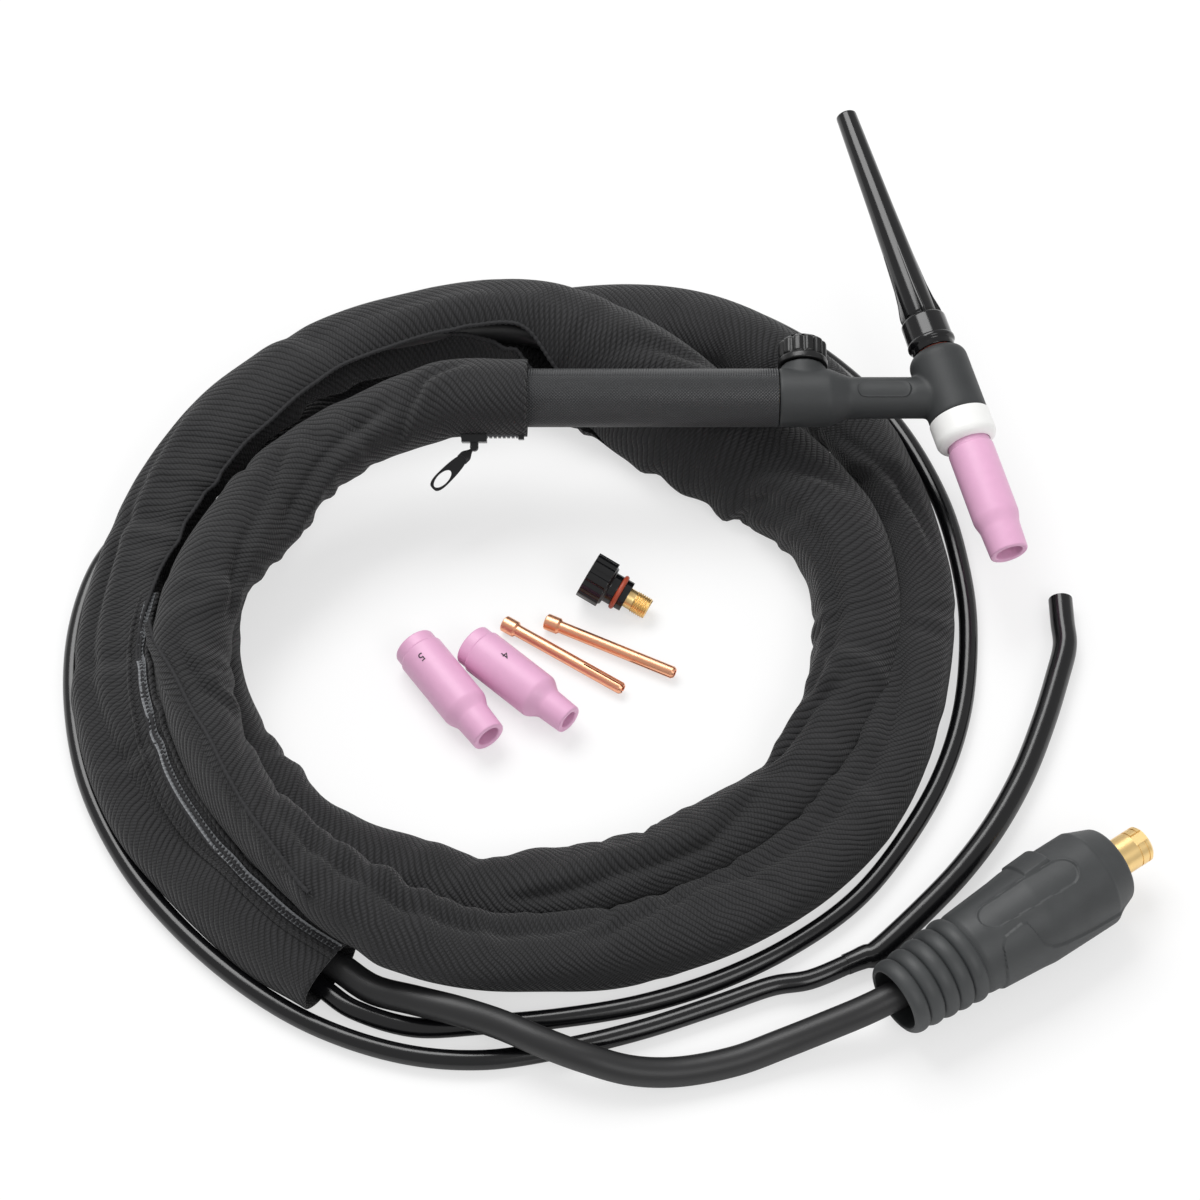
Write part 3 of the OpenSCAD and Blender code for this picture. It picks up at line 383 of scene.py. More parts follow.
def tube_grid(
    path: Array, radius: Array | float, sides: int, rounded_end: float = 0.0
) -> tuple[Array, Array]:
    """Round tube along a path; at each end come a smaller ring and a point, which close it.

    Args:
        path: centreline.
        radius: one radius, or one for each point.
        sides: points round the tube.
        rounded_end: how far the edges at the ends are rounded.

    Returns:
        Grid of points and its UV in millimetres.
    """
    r = np.broadcast_to(np.asarray(radius, float), (len(path),))
    rows = np.concatenate([[0, 0], np.arange(len(path)), [-1, -1]])
    return swept(path, rows, np.r_[0.0, r[0] - rounded_end, r, r[-1] - rounded_end, 0.0], sides)


# ---------------------------------------------------------------- materials


def linear(colour: str) -> tuple[float, float, float, float]:
    """Linear values of an sRGB colour.

    Args:
        colour: six hex digits.

    Returns:
        Red, green and blue from 0 to 1, and an alpha of 1.
    """
    parts = np.array([int(colour[i : i + 2], 16) for i in (0, 2, 4)]) / 255
    values = np.where(parts <= 0.04045, parts / 12.92, ((parts + 0.055) / 1.055) ** 2.4)
    return (*map(float, values), 1.0)


class Nodes:
    """The node tree of one material or of the world."""

    def __init__(self, owner: Any) -> None:
        """Empties the owner's node tree and keeps it.

        Args:
            owner: a material or a world.
        """
        owner.use_nodes = True
        self.tree = owner.node_tree
        self.tree.nodes.clear()

    def add(
        self, kind: str, inputs: dict[Any, Any] | None = None, **settings: Any
    ) -> bpy.types.Node:
        """Adds a node.

        Args:
            kind: type of the node without its leading "ShaderNode".
            inputs: for each socket, a value, or a node or socket that is linked to it.
            settings: properties of the node.

        Returns:
            The node.
        """
        node = self.tree.nodes.new("ShaderNode" + kind)
        for key, value in settings.items():
            setattr(node, key, value)
        for key, value in (inputs or {}).items():
            source = value.outputs[0] if isinstance(value, bpy.types.Node) else value
            if isinstance(source, bpy.types.NodeSocket):
                self.tree.links.new(source, node.inputs[key])
            else:
                node.inputs[key].default_value = source
        return node

    def mixed_colour(self, share: Any, a: Any, b: Any, blend: str = "MIX") -> bpy.types.NodeSocket:
        """Colour between a and b; the sockets 0, 6 and 7 are the share and the two colours."""
        node = self.add("Mix", {0: share, 6: a, 7: b}, data_type="RGBA", blend_type=blend)
        return node.outputs[2]

    def mixed_value(self, share: Any, a: Any, b: Any) -> bpy.types.NodeSocket:
        """Value between a and b; the sockets 0, 2 and 3 are the share and the two values."""
        return self.add("Mix", {0: share, 2: a, 3: b}, data_type="FLOAT").outputs[0]


@dataclass(frozen=True)
class Finish:
    """A finish: one shader with a faint cloudiness in its colour and a fine grain."""

    name: str
    colour: str
    roughness: float
    metallic: float = 0.0
    grain_mm: float = 0.4
    grain_depth_mm: float = 0.01
    cloud: float = 0.12
    cloud_mm: float = 6.0
    sheen: float = 0.0
    specular: float = 0.5

    def faded(self, nodes: Nodes, detail: float) -> bpy.types.Node:
        """Factor about 1, by which the colour is lighter or darker in soft patches.

        Args:
            nodes: the material's tree.
            detail: how many finer layers the patches have.

        Returns:
            The node that gives the factor.
        """
        spot = nodes.add("TexCoord").outputs["Object"]
        size = {"Scale": 1 / (self.cloud_mm * MM), "Detail": detail}
        cloud = nodes.add("TexNoise", {"Vector": spot, **size})
        limits = {"To Min": 1 - self.cloud, "To Max": 1 + self.cloud}
        return nodes.add("MapRange", {"Value": cloud, **limits})

    def tint(self, nodes: Nodes) -> bpy.types.NodeSocket:
        """The colour, faded in patches."""
        return nodes.mixed_colour(1.0, linear(self.colour), self.faded(nodes, 3.0), "MULTIPLY")

    def pattern(self, nodes: Nodes) -> tuple[Any, Any, float]:
        """A faded colour, and a grain that is noise on the object's own place.

        Args:
            nodes: the material's tree.

        Returns:
            Colour, height and the height's scale in metres.
        """
        spot = nodes.add("TexCoord").outputs["Object"]
        size = {"Scale": 1 / (self.grain_mm * MM), "Detail": 2.0}
        grain = nodes.add("TexNoise", {"Vector": spot, **size})
        return self.tint(nodes), grain.outputs[0], self.grain_depth_mm * MM

    def material(self) -> bpy.types.Material:
        """Makes the material once and keeps it under its name.

        Returns:
            The material.
        """
        kept = bpy.data.materials.get(self.name)
        if kept is not None:
            return kept
        made = bpy.data.materials.new(self.name)
        nodes = Nodes(made)
        colour, height, depth = self.pattern(nodes)
        bump = nodes.add("Bump", {"Height": height, "Strength": 1.0, "Distance": depth})
        shader = nodes.add(
            "BsdfPrincipled",
            {
                "Base Color": colour,
                "Roughness": self.roughness,
                "Metallic": self.metallic,
                "Normal": bump,
                "Sheen Weight": self.sheen,
                "Specular IOR Level": self.specular,
            },
        )
        nodes.add("OutputMaterial", {"Surface": shader.outputs[0]})
        return made


@dataclass(frozen=True)
class TwillFinish(Finish):
    """Coarse steep twill: slanting ribs round the sleeve, each a row of beads of yarn, with painted
    shade between them.
    """

    rib_mm: float = 2.0
    bead_mm: float = 1.1
    slant: float = 50.0
    # colour painted in the gaps between the ribs and the beads, as the shade that falls there
    painted_gap_shade: str = "050505"
    # how far the ribs wander, in ribs, and how many times in a metre
    wander: float = 0.6
    wander_per_m: float = 90.0
    rib_power: float = 0.6
    bead_depth: float = 0.38

    def pattern(self, nodes: Nodes) -> tuple[Any, Any, float]:
        """Height of the yarn, and a colour with painted shade between the ribs and the beads.

        Formula: p runs across the ribs and q along them, both from u and v of the UV by a turn
        through the slant. A hump is the sine of half a turn times the fraction of a value. The
        height is hump(p) to the rib's power, times a bead that goes from 1 less its depth up to
        1 with hump(q + p/2).

        Args:
            nodes: the material's tree.

        Returns:
            Colour, height and the height's scale in metres.
        """
        u, v = nodes.add("SeparateXYZ", {0: nodes.add("UVMap", uv_map="UVMap")}).outputs[:2]
        turn = np.radians(self.slant)
        spot = nodes.add("TexCoord").outputs["Object"]
        wave = nodes.add("TexNoise", {"Vector": spot, "Scale": self.wander_per_m, "Detail": 1.0})
        limits = {"To Min": -self.wander, "To Max": self.wander}
        shift = nodes.add("MapRange", {"Value": wave, **limits})

        def mixed(by_u: float, by_v: float, size: float) -> bpy.types.Node:
            """The sum u by_u + v by_v, in units of size."""
            part = nodes.add("Math", {0: u, 1: by_u / size}, operation="MULTIPLY")
            return nodes.add("Math", {0: v, 1: by_v / size, 2: part}, operation="MULTIPLY_ADD")

        def hump(value: bpy.types.Node) -> bpy.types.Node:
            """The sine of half a turn times the fraction of a value.

            Args:
                value: the node that gives the value.

            Returns:
                The node that gives the sine.
            """
            part = nodes.add("Math", {0: value}, operation="FRACT")
            part = nodes.add("Math", {0: part, 1: np.pi}, operation="MULTIPLY")
            return nodes.add("Math", {0: part}, operation="SINE")

        straight = mixed(np.cos(turn), np.sin(turn), self.rib_mm)
        across = nodes.add("Math", {0: straight, 1: shift}, operation="ADD")
        along = mixed(-np.sin(turn), np.cos(turn), self.bead_mm)
        along = nodes.add("Math", {0: across, 1: 0.5, 2: along}, operation="MULTIPLY_ADD")
        rib = nodes.add("Math", {0: hump(across), 1: self.rib_power}, operation="POWER")
        swell = {1: self.bead_depth, 2: 1 - self.bead_depth}
        bead = nodes.add("Math", {0: hump(along), **swell}, operation="MULTIPLY_ADD")
        top = nodes.add("Math", {0: rib, 1: bead}, operation="MULTIPLY")
        faded = self.faded(nodes, 4.0)
        shade = nodes.add("Math", {0: top, 1: faded}, operation="MULTIPLY", use_clamp=True)
        # the colour runs from the painted shade in the gaps to the yarn's colour on the tops
        tint = nodes.mixed_colour(shade, linear(self.painted_gap_shade), linear(self.colour))
        return tint, top.outputs[0], self.grain_depth_mm * MM


@dataclass(frozen=True)
class KnurlFinish(Finish):
    """Moulded handle with a diamond knurl, and a strip of fine cross ribs on its far side."""

    pitch_mm: float = 1.15
    rib_mm: float = 0.9
    strip_from_mm: float = 0.0
    strip_to_mm: float = 0.0
    # share of the colour that shows in the valleys, as painted shade, and on the crests, as a
    # painted highlight
    valley: float = 0.45
    crest: float = 1.25

    def pattern(self, nodes: Nodes) -> tuple[Any, Any, float]:
        """Height of the knurl, and a colour with painted shade in its valleys and a painted
        highlight on its crests.

        Formula: a diamond is the lower of two ping-pong waves on u + v and u - v; the strip has a
        ping-pong wave along v; u tells which of them holds.

        Args:
            nodes: the material's tree.

        Returns:
            Colour, height and the height's scale in metres.
        """
        u, v = nodes.add("SeparateXYZ", {0: nodes.add("UVMap", uv_map="UVMap")}).outputs[:2]
        waves = []
        for operation in ("ADD", "SUBTRACT"):
            cross = nodes.add("Math", {0: u, 1: v}, operation=operation)
            waves.append(nodes.add("Math", {0: cross, 1: self.pitch_mm / 2}, operation="PINGPONG"))
        diamond = nodes.add("Math", {0: waves[0], 1: waves[1]}, operation="MINIMUM")
        rib = nodes.add("Math", {0: v, 1: self.rib_mm / 2}, operation="PINGPONG")
        past = nodes.add("Math", {0: u, 1: self.strip_from_mm}, operation="GREATER_THAN")
        short = nodes.add("Math", {0: u, 1: self.strip_to_mm}, operation="LESS_THAN")
        inside = nodes.add("Math", {0: past, 1: short}, operation="MULTIPLY")
        height = nodes.mixed_value(inside, diamond, rib)
        # the colour is darker in the valleys, as painted shade, and lighter on the crests, as a
        # painted highlight
        painted_shade_and_highlight = {"From Max": self.pitch_mm / 2, "To Min": self.valley, "To Max": self.crest}
        tall = nodes.add("MapRange", {"Value": height, **painted_shade_and_highlight})
        tint = nodes.mixed_colour(1.0, self.tint(nodes), tall.outputs[0], "MULTIPLY")
        return tint, height, self.grain_depth_mm * MM


@dataclass(frozen=True)
class TurnedFinish(Finish):
    """Metal turned on a lathe: fine rings across an axis through the object."""

    axis: tuple[float, float, float] = (0.0, 0.0, 1.0)
    ring_mm: float = 0.35

    def pattern(self, nodes: Nodes) -> tuple[Any, Any, float]:
        """Rings: noise that changes along the piece's axis alone.

        Args:
            nodes: the material's tree.

        Returns:
            Colour, height and the height's scale in metres.
        """
        spot = nodes.add("TexCoord").outputs["Object"]
        along = nodes.add("VectorMath", {0: spot, 1: self.axis}, operation="DOT_PRODUCT")
        size = {"Scale": 1 / (self.ring_mm * MM), "Detail": 1.0}
        rings = nodes.add("TexNoise", {"W": along.outputs["Value"], **size}, noise_dimensions="1D")
        return self.tint(nodes), rings.outputs[0], self.grain_depth_mm * MM


class Finishes:
    """Every finish of the object, named for its real material and how it was made."""

    # Moulded rubber: matt charcoal with a fine grain from the mould and faint bloom
    rubber = Finish(
        "moulded_epdm_rubber", "303233", 0.55, grain_mm=0.35, grain_depth_mm=0.05, cloud=0.18
    )
    # The plug's rubber is greyer and coarser
    plug_rubber = Finish(
        "moulded_plug_rubber", "393b3c", 0.5, grain_mm=0.45, grain_depth_mm=0.06, cloud=0.2
    )
    # Compression-moulded phenolic: deep black with a hard gloss
    phenolic = Finish("moulded_phenolic", "0b0b0d", 0.16, grain_mm=2.0, grain_depth_mm=0.01)
    # The valve's knob is handled most: its gloss has gone satin
    knob = Finish("worn_phenolic", "0c0c0d", 0.32, grain_mm=0.8, grain_depth_mm=0.02)
    # Slip-cast and fired alumina: satin pink, faintly mottled
    alumina = Finish(
        "fired_pink_alumina", "e2accd", 0.42,
        grain_mm=0.3, grain_depth_mm=0.02, cloud=0.04, cloud_mm=3.0,
    )  # fmt: skip
    # Turned PTFE: waxy white
    ptfe = Finish("turned_ptfe", "f2f2f0", 0.38, grain_mm=0.8, grain_depth_mm=0.01, cloud=0.02)
    # Silicone rubber: rusty red with a soft gloss
    silicone = Finish("red_silicone_rubber", "a8442a", 0.4, grain_mm=0.6)
    # Extruded PVC: black with a wet gloss
    hose = Finish("extruded_pvc", "0c0c0e", 0.2, grain_mm=4.0, grain_depth_mm=0.04)
    # Extruded rubber jacket: soft black with a dull sheen
    cable = Finish("extruded_rubber_jacket", "1e1e1f", 0.44, grain_mm=0.5, grain_depth_mm=0.03)
    # Black-passivated zinc: thin dark coat on die-cast metal, half a mirror
    zinc = Finish("black_passivated_zinc", "18181a", 0.3, metallic=0.4, grain_mm=0.4)
    # Plated steel: bright grey mirror
    steel = Finish("plated_steel", "8d8d8f", 0.3, metallic=1.0)
    # Moulded nylon: dark grey, with small bright lights
    nylon = Finish("moulded_nylon_coil", "454548", 0.28, grain_mm=0.5)
    # Drawn nylon thread of a closed zipper: its pale grey is a painted highlight, the light that
    # each wind catches as a bead
    coil = Finish("nylon_coil_with_painted_highlight", "76787b", 0.34, grain_mm=0.5)
    # Fired ink: flat and dark
    ink = Finish("fired_ink", "3a3038", 0.6)
    # Woven polyester: charcoal yarn, with painted shade between the yarns
    twill = TwillFinish(
        "woven_polyester_twill", "242426", 0.7,
        grain_depth_mm=0.6, sheen=0.12, cloud=0.15, cloud_mm=25.0, specular=0.35,
    )  # fmt: skip
    # Spun polyester thread: dull black with a fuzz
    serging = Finish("overlock_thread", "232325", 0.8, grain_mm=0.6, grain_depth_mm=0.1)

    @staticmethod
    def brass(axis: Array) -> TurnedFinish:
        """Turned brass: warm yellow, with fine rings across the axis."""
        return turned_metal("turned_brass", "f6d494", axis)

    @staticmethod
    def copper(axis: Array) -> TurnedFinish:
        """Turned copper: bright salmon, with fine rings across the axis."""
        return turned_metal("turned_copper", "f0b08c", axis)


def turned_metal(name: str, colour: str, axis: Array) -> TurnedFinish:
    """A turned metal whose rings lie across an axis.

    Args:
        name: the metal; the axis's angle from x towards y is put after it.
        colour: its sRGB hex value.
        axis: direction of the axis.

    Returns:
        The finish.
    """
    heading = int(round(float(np.degrees(np.arctan2(axis[1], axis[0])))))
    along = tuple(map(float, axis))
    full = f"{name}_{heading % 360}"
    return TurnedFinish(full, colour, 0.34, metallic=1.0, grain_depth_mm=0.004, axis=along)


# ---------------------------------------------------------------- pieces and the frame


def report(piece: bpy.types.Object) -> None:
    """Logs a finished piece and its size."""
    size = [round(x / MM) for x in piece.dimensions]
    log.info("%s: %d faces, %s mm", piece.name, len(piece.data.polygons), size)


def dress(piece: bpy.types.Object, finish: Finish) -> None:
    """Gives a piece or a CAD node its one finish."""
    piece.data.materials.clear()
    piece.data.materials.append(finish.material())


def stand_for(
    piece: bpy.types.Object, nodes: Sequence[str], finish: Finish
) -> bpy.types.Object:
    """Dresses a new piece, sets it on the body of the nodes it stands for and hides these.

    Args:
        piece: the new piece.
        nodes: names of the CAD nodes that it replaces.
        finish: its finish.

    Returns:
        The piece.
    """
    dress(piece, finish)
    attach(piece, body_of(nodes[0]))
    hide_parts(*nodes)
    report(piece)
    return piece


def add_on(piece: bpy.types.Object, beside: str, finish: Finish) -> bpy.types.Object:
    """Dresses a new piece that replaces nothing and sets it on the body of a CAD node.

    Args:
        piece: the new piece.
        beside: name of the CAD node whose body carries it.
        finish: its finish.

    Returns:
        The piece.
    """
    dress(piece, finish)
    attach(piece, body_of(beside))
    report(piece)
    return piece


def body_of(node: str) -> str:
    """Name of the CAD body that holds a node."""
    return bpy.data.objects[node]["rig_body"]


def mesh_of(shape: bpy.types.Object) -> bpy.types.Mesh:
    """Mesh of an object with its modifiers applied.

    Args:
        shape: the object, which is taken out of the scene.

    Returns:
        The new mesh.
    """
    seen = shape.evaluated_get(bpy.context.evaluated_depsgraph_get())
    mesh = bpy.data.meshes.new_from_object(seen)
    bpy.data.objects.remove(shape)
    return mesh


def softened(node: str, voxel_mm: float, passes: int) -> bpy.types.Object:
    """A copy of a CAD node with its corners filled and rounded, as moulding leaves them.

    Args:
        node: name of the CAD node.
        voxel_mm: size of the cells that the shape is remade from.
        passes: how often each point moves to the middle of its neighbours.

    Returns:
        The new object.
    """
    source = bpy.data.objects[node]
    mesh = source.data.copy()
    shape = bmesh.new()
    shape.from_mesh(mesh)
    bmesh.ops.remove_doubles(shape, verts=shape.verts, dist=1e-6)
    shape.to_mesh(mesh)
    shape.free()
    rough = linked("rough", mesh)
    remesh = rough.modifiers.new("remesh", "REMESH")
    remesh.mode, remesh.voxel_size = "VOXEL", voxel_mm * MM
    smooth = rough.modifiers.new("smooth", "SMOOTH")
    smooth.factor, smooth.iterations = 0.5, passes
    bpy.context.view_layer.update()
    made = mesh_of(rough)
    made.materials.clear()
    return finished_mesh(node + "_moulded", made, 60)


# ---------------------------------------------------------------- studio


@dataclass
class Studio:
    """Camera, lamps and floor."""

    target: tuple[float, float, float] = (16, -3, 0)
    elevation: float = 55.5
    distance: float = 1200
    lens: float = 100
    sensor: float = 36
    floor_size: float = 6000
    floor_z: float = -0.3

    def camera(self) -> None:
        """Sets the camera on its target, looking along +Y and down."""
        tilt = np.radians(self.elevation)
        away = np.array([0, -np.cos(tilt), np.sin(tilt)]) * self.distance
        data = bpy.data.cameras.new("camera")
        data.lens, data.sensor_width, data.sensor_fit = self.lens, self.sensor, "HORIZONTAL"
        data.clip_end = 50
        camera = linked("camera", data)
        camera.location = Vector((np.array(self.target) + away) * MM)
        camera.rotation_euler = (np.radians(90 - self.elevation), 0, 0)
        bpy.context.scene.camera = camera

    def world(self) -> None:
        """Pale grey light from all round; the camera and reflections see white."""
        world = bpy.data.worlds.new("studio")
        bpy.context.scene.world = world
        nodes = Nodes(world)
        rays = nodes.add("LightPath")
        lit = nodes.add("Background", {"Color": (1, 1, 1, 1), "Strength": 0.55})
        seen = nodes.add("Background", {"Color": (1, 1, 1, 1), "Strength": 1.0})
        mix = nodes.add("MixShader", {0: rays.outputs["Is Camera Ray"], 1: lit, 2: seen})
        nodes.add("OutputWorld", {"Surface": mix.outputs[0]})

    def lamp(self, name: str, at: Sequence[float], size: Sequence[float], watts: float) -> None:
        """Adds a soft box that faces the object.

        Args:
            name: name of the lamp.
            at: its place in metres.
            size: its width and height in metres.
            watts: its power.
        """
        data = bpy.data.lights.new(name, "AREA")
        data.shape, data.size, data.size_y, data.energy = "RECTANGLE", *size, watts
        lamp = linked(name, data)
        lamp.location = at
        lamp.rotation_euler = (-Vector(at)).to_track_quat("-Z", "Y").to_euler()

    def floor(self) -> None:
        """Pale floor that keeps the object's shadow and looks nearly white."""
        half = self.floor_size / 2
        x, y = np.meshgrid([-half, half], [-half, half])
        grid = np.stack([x, y, 0 * x + self.floor_z], axis=-1)
        floor = piece_from_grid("floor", grid, grid[..., :2])
        made = bpy.data.materials.new("paper_floor")
        nodes = Nodes(made)
        rays = nodes.add("LightPath")
        paper = nodes.add("BsdfDiffuse", {"Color": linear("f7f7f7")})
        glow = nodes.add("Emission", {"Color": (1, 1, 1, 1), "Strength": 1.0})
        share = nodes.add("Math", {0: rays.outputs["Is Camera Ray"], 1: 0.6}, operation="MULTIPLY")
        mix = nodes.add("MixShader", {0: share, 1: paper, 2: glow})
        nodes.add("OutputMaterial", {"Surface": mix.outputs[0]})
        floor.data.materials.append(made)

    def build(self) -> None:
        """Makes the camera, the world, the lamps and the floor."""
        self.camera()
        self.world()
        self.lamp("soft_box_above", (-0.5, 0.9, 1.7), (1.4, 1.0), 26)
        self.lamp("soft_box_front", (0.9, -1.2, 1.5), (0.9, 0.9), 9)
        self.floor()
        bpy.context.scene.view_settings.view_transform = "Standard"


# ---------------------------------------------------------------- torch


@dataclass
class Nozzle:
    """A ceramic gas nozzle that stands on its rear end in its own frame."""

    at: Place
    node: str
    orifice: float
    digit: str = ""
    digit_from_rear: float = 10.0
    digit_angle: float = 180.0
    digit_height: float = 3.2
    length: float = 47.0
    barrel_r: float = 8.35
    band_r: float = 7.75
    band_end: float = 4.3
    thread_r: float = 5.65
    thread_end: float = 13.2
    mouth_wall: float = 2.1
    # where the barrel starts to narrow and where it is narrow, as shares of the length
    shoulder: tuple[float, float] = (0.675, 0.8)
    # the marks lie this far over the glaze
    ink_lift: float = 0.09

    def profile(self) -> Array:
        """Outline from the rear round the mouth and back through the bore.

        Formula: the barrel narrows to the waist by a smooth 3t^2 - 2t^3 step.

        Returns:
            Rows of radius and height.
        """
        barrel_end, neck = (share * self.length for share in self.shoulder)
        barrel, band, bore = self.barrel_r, self.band_r, self.orifice / 2
        thread, inner = self.thread_r, self.thread_r - 0.35
        mouth = bore + self.mouth_wall
        waist = min(mouth + 0.35, barrel - 0.5)
        z = np.linspace(barrel_end, neck, 14)
        shoulder = np.column_stack([barrel - (barrel - waist) * step_up(z, barrel_end, neck), z])
        rear = [(thread, 0), (band, 0), (band, self.band_end)]
        rear = rounded([*rear, (barrel, self.band_end + 0.5), (barrel, barrel_end)], 1.6, 7)
        front = [(waist, neck), (mouth, self.length), (bore, self.length)]
        front = rounded([*front, (bore, neck - 1), (inner, barrel_end - 2)], 0.7, 5)
        back = [(inner, self.thread_end + 0.4), (thread, self.thread_end), (thread, 0)]
        return np.vstack([rear[:-1], shoulder, front[1:], back])

    def mark(self) -> None:
        """Prints the size's digit on the barrel.

        Formula: a flat digit's x turns into angle x / r, its y into height and its z into radius.
        """
        curve = bpy.data.curves.new("digit", "FONT")
        # a digit of the font is 1 / 1.4 of its size high
        curve.body, curve.size, curve.extrude = self.digit, self.digit_height * 1.4 * MM, 0.04 * MM
        curve.align_x, curve.align_y = "CENTER", "CENTER"
        mesh = mesh_of(linked("digit", curve))
        points = np.empty(len(mesh.vertices) * 3, np.float32)
        mesh.vertices.foreach_get("co", points)
        x, y, z = points.reshape(-1, 3).T / MM
        angle = np.radians(self.digit_angle) + x / self.barrel_r
        r = self.barrel_r + self.ink_lift + z
        spots = [r * np.cos(angle), r * np.sin(angle), y + self.digit_from_rear]
        wrapped = self.at.out(np.stack(spots, axis=-1))
        mesh.vertices.foreach_set("co", (wrapped * MM).astype(np.float32).ravel())
        piece = finished_mesh(self.node + "_digit", mesh, 60)
        add_on(piece, self.node, Finishes.ink)

    def build(self) -> None:
        """Makes the nozzle and its digit."""
        grid, uv = lathe(self.profile(), 96)
        piece = piece_from_grid(self.node + "_fired", self.at.out(grid), uv)
        stand_for(piece, [self.node], Finishes.alumina)
        if self.digit:
            self.mark()


@dataclass
class Torch:
    """Torch head, neck, gas valve, handle, shield, nozzle and long cap."""

    pivot: tuple[float, float, float] = (142, 54, 45)
    tilt: float = 10
    head_angle: float = 74
    valve_x: float = 53
    knob_z: float = 12.2
    knob_h: float = 10.4
    knob_r: float = 8.8
    knob_flange_r: float = 9.05
    knob_flutes: int = 12
    flute_depth: float = 0.75
    flute_power: float = 2.5
    handle_r: float = 10.5
    handle_bore_r: float = 9.3
    handle_from: float = 62.1
    handle_to: float = 172.0
    # half the angle of the strip of cross ribs, and the groove along each of its borders
    strip_half: float = 67.0
    groove_depth: float = 0.3
    groove_rad: float = 0.03
    nozzle_seat: float = -17.2
    cap_seat: float = 18.85
    collar_z: float = 3.4
    collar_h: float = 11.8
    collar_r: float = 8.8
    cap_l: float = 90.0
    cap_root_r: float = 6.0
    cap_tip_r: float = 3.85
    fin_t: float = 1.2
    # reach of the long cap's fins: height over the collar and distance from the axis
    fin_edge: Points = ((-1, 7.6), (0, 7.9), (2, 7.75), (7, 6.8), (13, 6.15), (28, 5.4))
    # the pad on the neck: half its length and width, its middle and the neck's radius
    pad: tuple[float, float] = (10.0, 3.4)
    pad_x: float = -24.6
    neck_r: float = 7.5

    def base(self) -> Place:
        """Frame of the torch: x along the handle towards the head."""
        return place(*self.pivot).turned(Axis.X, self.tilt)

    def on_head(self) -> Place:
        """Frame whose z runs along the head, towards the cap."""
        return self.base().turned(Axis.Z, 90 - self.head_angle).turned(Axis.X, -90)

    def on_handle(self) -> Place:
        """Frame whose z runs along the handle, away from the head."""
        return self.base().turned(Axis.Y, -90)

    def on_valve(self) -> Place:
        """Frame whose z runs along the valve, towards its knob."""
        return self.base().moved((-self.valve_x, 0, 0)).turned(Axis.X, -90)

    def knob(self) -> None:
        """Valve knob.

        Formula: the grip's radius sinks by a cosine power at each flute.
        """
        h, r = self.knob_h, self.knob_r
        flange = [(0, 0), (self.knob_flange_r, 0), (self.knob_flange_r, 2.3)]
        grip = [(r - 0.5, 2.9), (r, 3.3), (r, h - 1.5), (r - 1.7, h - 0.1), (0, h)]
        outline = rounded([*flange, *grip], 0.5)
        fine = resampled(outline, np.linspace(0, 1, len(outline)), np.linspace(0, 1, 90))

        def flutes(a: Array, z: Array, r: Array) -> Array:
            """Depth of the flutes, which leave the flange and the top alone."""
            share = (0.5 + 0.5 * np.cos(self.knob_flutes * a)) ** self.flute_power
            return -self.flute_depth * share * step_up(z, 2.7, 3.5) * (r > self.knob_r - 1.6)

        grid, uv = lathe(fine, 240, flutes)
        at = self.on_valve().moved((0, 0, self.knob_z))
        piece = piece_from_grid("valve_knob_moulded", at.out(grid), uv)
        stand_for(piece, ["valve_knob"], Finishes.knob)

    def handle(self) -> None:
        """Handle tube with its knurl; a fine groove parts the knurl from the cross ribs."""
        bore, r, first, last = self.handle_bore_r, self.handle_r, self.handle_from, self.handle_to
        outline = rounded([(bore, first), (r, first), (r, last), (bore, last), (bore, first)], 0.4)

        def groove(a: Array, z: Array, r: Array) -> Array:
            """Depth of the grooves on the outside; it doesn't change with z."""
            off = np.abs(np.abs(a - np.pi / 2) - np.radians(self.strip_half))
            return -self.groove_depth * bell(off, self.groove_rad) * (r > bore + 0.5)

        grid, uv = lathe(outline, 256, groove)
        piece = piece_from_grid("handle_knurled", self.on_handle().out(grid), uv)
        knurl = KnurlFinish(
            "knurled_glass_filled_nylon",
            "3b3c3e",
            0.45,
            grain_depth_mm=0.5,
            strip_from_mm=np.radians(90 - self.strip_half) * self.handle_r,
            strip_to_mm=np.radians(90 + self.strip_half) * self.handle_r,
        )
        stand_for(piece, ["handle"], knurl)

    def cap(self) -> None:
        """Long back cap: a tapered tube on a rounded collar, with four fins.

        Formula: a fin is a bar whose outer edge comes down to the tube along its length.
        """
        z0, top = self.collar_z, self.collar_z + self.collar_h
        tip = top + self.cap_l
        r = self.collar_r
        root = self.cap_root_r
        outline = rounded(
            [
                (0, -2.5), (5.7, -2.5), (5.7, 0), (4.8, 0), (4.8, 1.9), (6.95, 1.9), (6.95, 0.35),
                (7.8, 0.35), (7.9, z0 - 0.9), (r - 0.3, z0 - 0.3), (r, z0 + 0.1), (r, z0 + 1.1),
                (r - 0.4, z0 + 1.5), (r - 0.5, top - 1.5), (r - 3.2, top + 0.1), (root, top + 0.7),
                (0.94 * root, top + 16), (0.79 * root, top + 0.52 * self.cap_l),
                (self.cap_tip_r, tip), (0, tip),
            ],
            0.8,
        )  # fmt: skip
        at = self.on_head().moved((0, 0, self.cap_seat))
        grid, uv = lathe(outline, 128)
        parts = [(at.out(grid), uv)]
        height, reach = np.array(self.fin_edge).T
        z = np.linspace(height[0], height[-1], 40)
        out = np.interp(z, height, reach)
        a = np.linspace(0, TAU, 17)
        c, s = np.cos(a), np.sin(a)
        half = self.fin_t / 2 * np.sign(s) * np.abs(s) ** 0.6
        for quarter in range(4):
            reach = (out[:, None] - 3) / 2 * (1 + np.sign(c) * np.abs(c) ** 0.25) + 3
            fin = stacked(reach, half, (z + top)[:, None])
            turn = at.turned(Axis.Z, 90 * quarter)
            parts.append((turn.out(fin), fin[..., :2]))
        piece = piece_from_grids("back_cap_moulded", parts)
        stand_for(piece, ["back_cap"], Finishes.phenolic)

